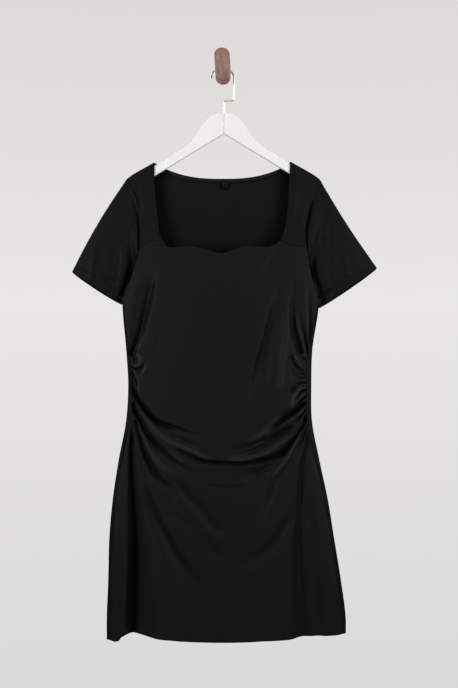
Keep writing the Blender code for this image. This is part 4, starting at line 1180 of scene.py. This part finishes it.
def stitches(name, lines, material, length=2.7, gap=0.9, radius=0.27, ring=6, shoulder=0.22):
    """Short raised stitches along each line of (points, normals), as one mesh. A stitch has a ring of
    corners at the shoulder, a share of its length from each end, and sinks to a point at both ends."""
    verts, faces = [], []
    turns = 2 * math.pi * np.arange(ring) / ring
    for points, normals in lines:
        run = lengths(points, axis=0)
        count = int(run[-1] // (length + gap))
        middles = (np.arange(count) + 0.5) * run[-1] / count
        starts, ends = (read_at([middles + shift], [run], [points])[0] for shift in (-length / 2, length / 2))
        ups = read_at([middles], [run], [normals])[0]
        for start, end, up in zip(starts, ends, ups):
            forward = (end - start) / np.linalg.norm(end - start)
            side = np.cross(up, forward)
            side /= np.linalg.norm(side)
            up = np.cross(forward, side)
            base = len(verts)
            verts.append(start - up * radius)
            for share in (shoulder, 1 - shoulder):
                centre = start + (end - start) * share
                spokes = (math.cos(turn) * side + math.sin(turn) * up for turn in turns)
                verts.extend(centre + radius * spoke for spoke in spokes)
            verts.append(end - up * radius)
            first, second, last = base + 1, base + 1 + ring, base + 1 + 2 * ring
            for k in range(ring):
                after = (k + 1) % ring
                faces.append((base, first + after, first + k))
                faces.append((first + k, first + after, second + after, second + k))
                faces.append((last, second + k, second + after))
    mesh = bpy.data.meshes.new(name)
    mesh.from_pydata([tuple(v * MM) for v in verts], [], faces)
    return linked(name, mesh, material)


def slab(name, outline, low_y, thick, edge_round, material):
    """A flat piece: an outline of (x, z) points, extruded along Y, with its rims rounded by Bevel."""
    bm = bmesh.new()
    face = bm.faces.new([bm.verts.new((x * MM, low_y * MM, z * MM)) for x, z in outline])
    moved = bmesh.ops.extrude_face_region(bm, geom=[face])["geom"]
    corners = [item for item in moved if isinstance(item, bmesh.types.BMVert)]
    bmesh.ops.translate(bm, verts=corners, vec=(0, thick * MM, 0))
    bmesh.ops.recalc_face_normals(bm, faces=bm.faces)
    mesh = mesh_from(bm, name)
    piece = linked(name, mesh, material)
    mesh.set_sharp_from_angle(angle=SHARP_ANGLE)
    rim = piece.modifiers.new("Rounded rim", "BEVEL")
    rim.width = edge_round * MM
    rim.segments = BEVEL_STEPS
    rim.limit_method = "ANGLE"
    rim.angle_limit = BEVEL_ANGLE
    return piece


def placed(piece, slot, *nodes):
    """The piece rides on the one body and stands for the CAD nodes, which it hides. The slot is not used."""
    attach(piece, "root")
    if nodes:
        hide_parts(*nodes)
    return piece


def area_of(obj):
    """Half the whole surface of a thin shell, in square metres."""
    graph = bpy.context.evaluated_depsgraph_get()
    mesh = obj.evaluated_get(graph).to_mesh()
    total = sum(face.area for face in mesh.polygons)
    obj.evaluated_get(graph).to_mesh_clear()
    return total / 2


# ---------------------------------------------------------------- the dress
def make_dress():
    """The pieces of cloth, and the stitching of their hems, by name."""
    pieces, lines = {}, []
    front = front_panel()
    lines += [line_on(front, "bottom", distance) for distance in DRESS_HEM_LINES]
    front = with_top(front, STRAP_SEAM_PATH, NECK_EDGE)
    front = with_edges(front, bottom=DRESS_HEM, left=SEAM_PATH, right=SEAM_PATH)
    # Where the front lies on gathered ridges its jersey is smoother and painted paler, a painted highlight
    ridges = [crease for crease in (*GATHERS["left"], *GATHERS["right"]) if np.max(crease.depth) < 0]
    risen = -creased(ridges, front.points[..., 0], front.points[..., 2])
    pulled_and_highlight = np.clip(risen / PULLED_RISE, 0, 1)
    made = sheet_object("dress_front", front, jersey("Black jersey front"), pulled_and_highlight=pulled_and_highlight)
    pieces["front"] = placed(made, "jersey_front", "front_panel")

    back = back_panel()
    lines += [line_on(back, "bottom", distance) for distance in DRESS_HEM_LINES]
    in_strap = len(STRAP_COLUMNS)
    lines.append(tuple(part[in_strap:-in_strap] for part in line_on(back, "top", BACK_NECK_LINE)))
    back = with_top(back, SEAM_PATH, BACK_NECK_EDGE)
    back = with_edges(back, bottom=DRESS_HEM, left=SEAM_PATH, right=SEAM_PATH)
    made = sheet_object("dress_back", back, jersey("Black jersey back", BACK_PAINTED_SHADE))
    pieces["back"] = placed(made, "jersey_back", "back_panel")

    for side, neck_side in (("left", "right"), ("right", "left")):
        strap = with_edges(strap_panel(side), top=SEAM_PATH, bottom=STRAP_SEAM_PATH)
        strap = with_edges(strap, **{neck_side: NECK_EDGE, side: SEAM_PATH})
        made = sheet_object(f"dress_strap_{side}", strap, jersey(f"Black jersey strap {side}", STRAP_PAINTED_SHADE))
        pieces[f"strap_{side}"] = placed(made, f"jersey_strap_{side}", f"front_strap_{side}")

        sleeve = sleeve_panel(side)
        for distance in SLEEVE_HEM_LINES:
            line = line_on(sleeve, "bottom", distance)
            lines.append(tuple(np.concatenate([part, part[:1]]) for part in line))
        sleeve = with_edges(sleeve, top=SEAM_PATH, bottom=SLEEVE_HEM)
        look = jersey(f"Black jersey sleeve {side}", SLEEVE_PAINTED_SHADE)
        made = sheet_object(f"dress_sleeve_{side}", sleeve, look, closed=True)
        pieces[f"sleeve_{side}"] = placed(made, f"jersey_sleeve_{side}", f"sleeve_{side}")

    pieces["stitches"] = placed(stitches("stitching", lines, thread("Black thread")), "jersey_back")
    return pieces


def inside_back(flat, out):
    """Points over the inside of the back panel at (x, z), moved towards the front by out."""
    angles = angle_at(flat[..., 0], flat[..., 1])
    return body(angles, flat[..., 1], -1) - (0, out, 0)


# The tape's middle lies this far from the back's cloth, with this crown, and its first and last rows are
# this far under the edge and past its own width
TAPE_LIFT, TAPE_CROWN, TAPE_THICK, TAPE_START, TAPE_OVERLAP = 1.7, 0.25, 0.6, 0.6, 0.4
# The label is sewn down along its top and lifts a little towards its foot, and most at its corners
LABEL_LIFT, LABEL_THICK, LABEL_FOOT_LIFT, LABEL_MIDDLE_SHARE, LABEL_CURVE = 2.75, 0.5, 1.4, 0.6, 1.6


def make_neck_trim():
    """The binding tape and the blank label, on the inside of the back neck."""
    x = np.linspace(-BINDING_HALF_SPAN, BINDING_HALF_SPAN, 150)
    edge = np.stack([x, back_neckline(x)], axis=-1)
    slope = np.gradient(edge[:, 1], x)
    down = np.stack([slope, -np.ones_like(x)], axis=-1) / np.hypot(slope, 1)[:, None]
    rows = np.linspace(TAPE_START, BINDING_WIDTH + TAPE_OVERLAP, 9)
    points = inside_back(np.stack([edge + down * offset for offset in rows]), TAPE_LIFT)
    points[..., 1] -= TAPE_CROWN * np.sqrt(np.sin(math.pi * np.linspace(0, 1, 9)))[:, None]
    panel = Panel(points, -facing_out(points))
    sheet = sheet_object("neck_tape", panel, tape("Black neck tape"), TAPE_THICK)
    binding = placed(sheet, "neck_tape", "neck_binding")

    (x, z), (width, height) = LABEL_MIDDLE, LABEL_SIZE
    across, down = np.linspace(-1, 1, 15), np.linspace(0, 1, 19)
    flat = np.stack(np.meshgrid(x + across * width / 2, z + (0.5 - down) * height), axis=-1)
    points = inside_back(flat, LABEL_LIFT)
    bowed = LABEL_MIDDLE_SHARE + (1 - LABEL_MIDDLE_SHARE) * across**2
    points[..., 1] -= LABEL_FOOT_LIFT * down[:, None] ** LABEL_CURVE * bowed
    panel = Panel(points, -facing_out(points))
    sheet = sheet_object("neck_label_blank", panel, satin("Blank black label"), LABEL_THICK)
    return binding, placed(sheet, "label", "neck_label")


# ---------------------------------------------------------------- hanger and hooks
def arc(centre, radius, start, end, steps):
    """Points of an arc in the plane of the hanger, from angle start to end in degrees."""
    turns = np.radians(np.linspace(start, end, steps + 1))
    return [(centre[0] + radius * math.cos(t), centre[1] + radius * math.sin(t)) for t in turns]


def arm_outline():
    """One half of the hanger, as dx from the joint and z: smooth above, straight below."""
    top = along(ARM_OUTLINE_TOP, np.linspace(0, 1, 70))
    tip = along(ARM_OUTLINE_TIP, np.linspace(0, 1, 18))
    low = along(ARM_OUTLINE_LOW, np.linspace(0, 1, 24))
    return np.concatenate([top, tip[1:], low[1:]])


def make_hanger():
    """The two flat wooden halves, side by side."""
    outline, back_of = arm_outline(), HANGER_Y - HANGER_THICK / 2
    for side in ("left", "right"):
        shape = [(HANGER_X + outward_of(side) * (dx + HANGER_JOINT_GAP / 2), z) for dx, z in outline]
        look = painted_wood(f"White painted wood {side}")
        arm = slab(f"hanger_half_{side}", shape, back_of, HANGER_THICK, HANGER_EDGE_ROUND, look)
        placed(arm, f"hanger_paint_{side}", f"hanger_arm_{side}")


def make_wire():
    """The hook: half a ring over the peg, a straight leg, and a jog in to the joint of the hanger."""
    route = arc((0, HOOK_CENTRE_Z), HOOK_RADIUS, 180, 0, 60)
    route += arc((HOOK_RADIUS - HOOK_BEND, HOOK_LEG_BOTTOM + HOOK_BEND), HOOK_BEND, 0, -90, 12)
    route += arc((HANGER_X + HOOK_BEND, HOOK_LEG_BOTTOM - HOOK_BEND), HOOK_BEND, 90, 180, 12)
    route.append((HANGER_X, WIRE_FOOT))
    curve = bpy.data.curves.new("hook_wire", "CURVE")
    curve.dimensions = "3D"
    curve.bevel_depth = WIRE_RADIUS * MM
    curve.bevel_resolution = 6
    curve.use_fill_caps = True
    line = curve.splines.new("POLY")
    line.points.add(len(route) - 1)
    for point, (x, z) in zip(line.points, route):
        point.co = (x * MM, HANGER_Y * MM, z * MM, 1)
    line.use_smooth = True
    curve.materials.append(gold_wire("Pale gold wire"))
    wire = bpy.data.objects.new("hook_wire", curve)
    bpy.context.scene.collection.objects.link(wire)
    return placed(wire, "wire", "hanger_hook")


def pill():
    """Outline of the rounded bar, turned by its tilt."""
    radius, straight = PILL_WIDTH / 2, (PILL_HEIGHT - PILL_WIDTH) / 2
    points = arc((0, straight), radius, 0, 180, 40) + arc((0, -straight), radius, 180, 360, 40)
    turn = Matrix.Rotation(PILL_TILT, 2)
    return [tuple(turn @ Vector(point)) for point in points]


def make_wall_hook():
    """Two rounded bars, with a round peg between them."""
    for name, slot, node, low_y in (
        ("plate", "hook_plate_wood", "wall_hook_plate", -PILL_THICK),
        ("knob", "hook_knob_wood", "wall_hook_knob", KNOB_FRONT),
    ):
        look = brown_wood(f"Brown wood {name}")
        placed(slab(f"hook_{name}", pill(), low_y, PILL_THICK, PILL_EDGE_ROUND, look), slot, node)

    near, far = KNOB_FRONT + PILL_THICK + GAP, -PILL_THICK - GAP
    bm = bmesh.new()
    bmesh.ops.create_cone(
        bm,
        cap_ends=True,
        segments=ROUND_STEPS,
        radius1=NECK_RADIUS * MM,
        radius2=NECK_RADIUS * MM,
        depth=(far - near) * MM,
        matrix=Matrix.Rotation(math.pi / 2, 4, "X"),
    )
    bmesh.ops.translate(bm, verts=bm.verts, vec=(0, (near + far) / 2 * MM, (NECK_TOP - NECK_RADIUS) * MM))
    mesh = mesh_from(bm, "hook_peg")
    peg = linked("hook_peg", mesh, brown_wood("Brown wood peg"))
    mesh.set_sharp_from_angle(angle=SHARP_ANGLE)
    placed(peg, "hook_neck_wood", "wall_hook_neck")


# ---------------------------------------------------------------- studio
CAMERA_AT = (0.013, -2.235, -0.558)
CAMERA_LENS, CAMERA_SENSOR, CAMERA_CLIP = 57.6, 36.0, (0.05, 50.0)
# The camera's tone curve, which sinks the darkest tones: scene light in and out
TONE = (
    (0.0048, 0.0012), (0.013, 0.0034), (0.0262, 0.0125), (0.045, 0.0278),
    (0.10, 0.086), (0.18, 0.175), (0.25, 0.25),
)
LIGHTS_AIM = (0, 0, -0.6)
LIGHTS = (  # name, place and size in metres, and watts
    ("Left", (-1.5, -1.25, -0.3), (0.9, 1.3), 30.5),
    ("Right", (1.5, -1.25, -0.3), (0.9, 1.3), 29.5),
    ("Top", (0, -1.2, 0.9), (1.6, 0.8), 10),
    ("Behind left", (-1.6, 1.9, 0.5), (1.2, 1.4), 62),
    ("Behind right", (1.7, 1.8, 0.3), (1.2, 1.4), 62),
)
# The wall that the camera sees, by height: painted light, brighter across the middle and darker above and
# below; and the light that comes from all round
WALL_PAINTED_LIGHT = (0.30, (0.66, 0.655, 0.655)), (0.52, (0.81, 0.795, 0.79)), (0.72, (0.66, 0.63, 0.62))
AROUND_COLOUR, AROUND_STRENGTH = (0.96, 0.97, 1.0, 1), 0.07
FLOOR_RADIUS, FLOOR_Z = 1.9, -1.9


def make_camera():
    """The camera, straight in front of the dress, and its tone curve."""
    data = bpy.data.cameras.new("Camera")
    data.lens = CAMERA_LENS
    data.sensor_width = CAMERA_SENSOR
    data.clip_start, data.clip_end = CAMERA_CLIP
    camera = bpy.data.objects.new("Camera", data)
    camera.location = CAMERA_AT
    camera.rotation_euler = (math.pi / 2, 0, 0)
    bpy.context.scene.collection.objects.link(camera)
    bpy.context.scene.camera = camera
    view = bpy.context.scene.view_settings
    view.view_transform = "Standard"
    view.use_curve_mapping = True
    for light_in, light_out in TONE:
        view.curve_mapping.curves[3].points.new(light_in, light_out)
    view.curve_mapping.update()


def make_light(name, place, size, watts):
    """A soft rectangle of light that faces the dress."""
    data = bpy.data.lights.new(name, "AREA")
    data.shape = "RECTANGLE"
    data.size, data.size_y = size
    data.energy = watts
    light = bpy.data.objects.new(name, data)
    light.location = place
    light.rotation_euler = (Vector(LIGHTS_AIM) - Vector(place)).to_track_quat("-Z", "Y").to_euler()
    bpy.context.scene.collection.objects.link(light)


def make_world():
    """A pale wall for the camera, painted brighter across its middle as a painted pool of light, and a faint
    even light for all else.
    """
    world = bpy.data.worlds.new("Studio")
    bpy.context.scene.world = world
    world.use_nodes = True
    world.node_tree.nodes.clear()
    nodes = Nodes(world)
    where = nodes.add("ShaderNodeTexCoord").outputs["Generated"]
    split = nodes.add("ShaderNodeSeparateXYZ", {"Vector": where})
    height = nodes.maths("MULTIPLY_ADD", split.outputs["Z"], 0.5, 0.5)
    # Painted light on the wall: brighter across the middle, darker above and below
    wall = nodes.add("ShaderNodeBackground", {"Color": nodes.colours(height, *WALL_PAINTED_LIGHT)})
    around = nodes.add("ShaderNodeBackground", {"Color": AROUND_COLOUR, "Strength": AROUND_STRENGTH})
    seen = nodes.add("ShaderNodeLightPath").outputs["Is Camera Ray"]
    mix = nodes.add("ShaderNodeMixShader", {"Fac": seen, 1: around.outputs[0], 2: wall.outputs[0]})
    nodes.add("ShaderNodeOutputWorld", {"Surface": mix.outputs[0]})


def make_floor():
    """A pale round floor, far under the dress."""
    bm = bmesh.new()
    bmesh.ops.create_circle(bm, cap_ends=True, segments=ROUND_STEPS, radius=FLOOR_RADIUS)
    bmesh.ops.translate(bm, verts=bm.verts, vec=(0, 0, FLOOR_Z))
    plain = new_material("Pale floor", (0.72, 0.71, 0.70), 0.8)
    nodes = Nodes(plain)
    shade = nodes.noise(nodes.object_coordinates(), 3.0, 3.0)
    nodes.into(nodes.two_tone(shade, (0.70, 0.69, 0.68), (0.74, 0.73, 0.72)), "Base Color")
    linked("floor", mesh_from(bm, "floor"), plain)


# ---------------------------------------------------------------- sheets
FLAT = {  # width and length of the rectangle that each piece of cloth is cut from, in metres
    "front": (0.53, 0.88),
    "back": (0.53, 0.99),
    "strap_left": (0.08, 0.20),
    "strap_right": (0.08, 0.20),
    "sleeve_left": (0.46, 0.26),
    "sleeve_right": (0.48, 0.26),
}


def declare_sheets(pieces):
    """Works out the area of each piece of cloth in FLAT, and keeps nothing of it."""
    for name, flat in FLAT.items():
        area = round(area_of(pieces[name]), 4)


def main():
    make_camera()
    for light in LIGHTS:
        make_light(*light)
    make_world()
    make_floor()
    pieces = make_dress()
    binding, label = make_neck_trim()
    make_hanger()
    make_wire()
    make_wall_hook()
    declare_sheets(pieces)


main()
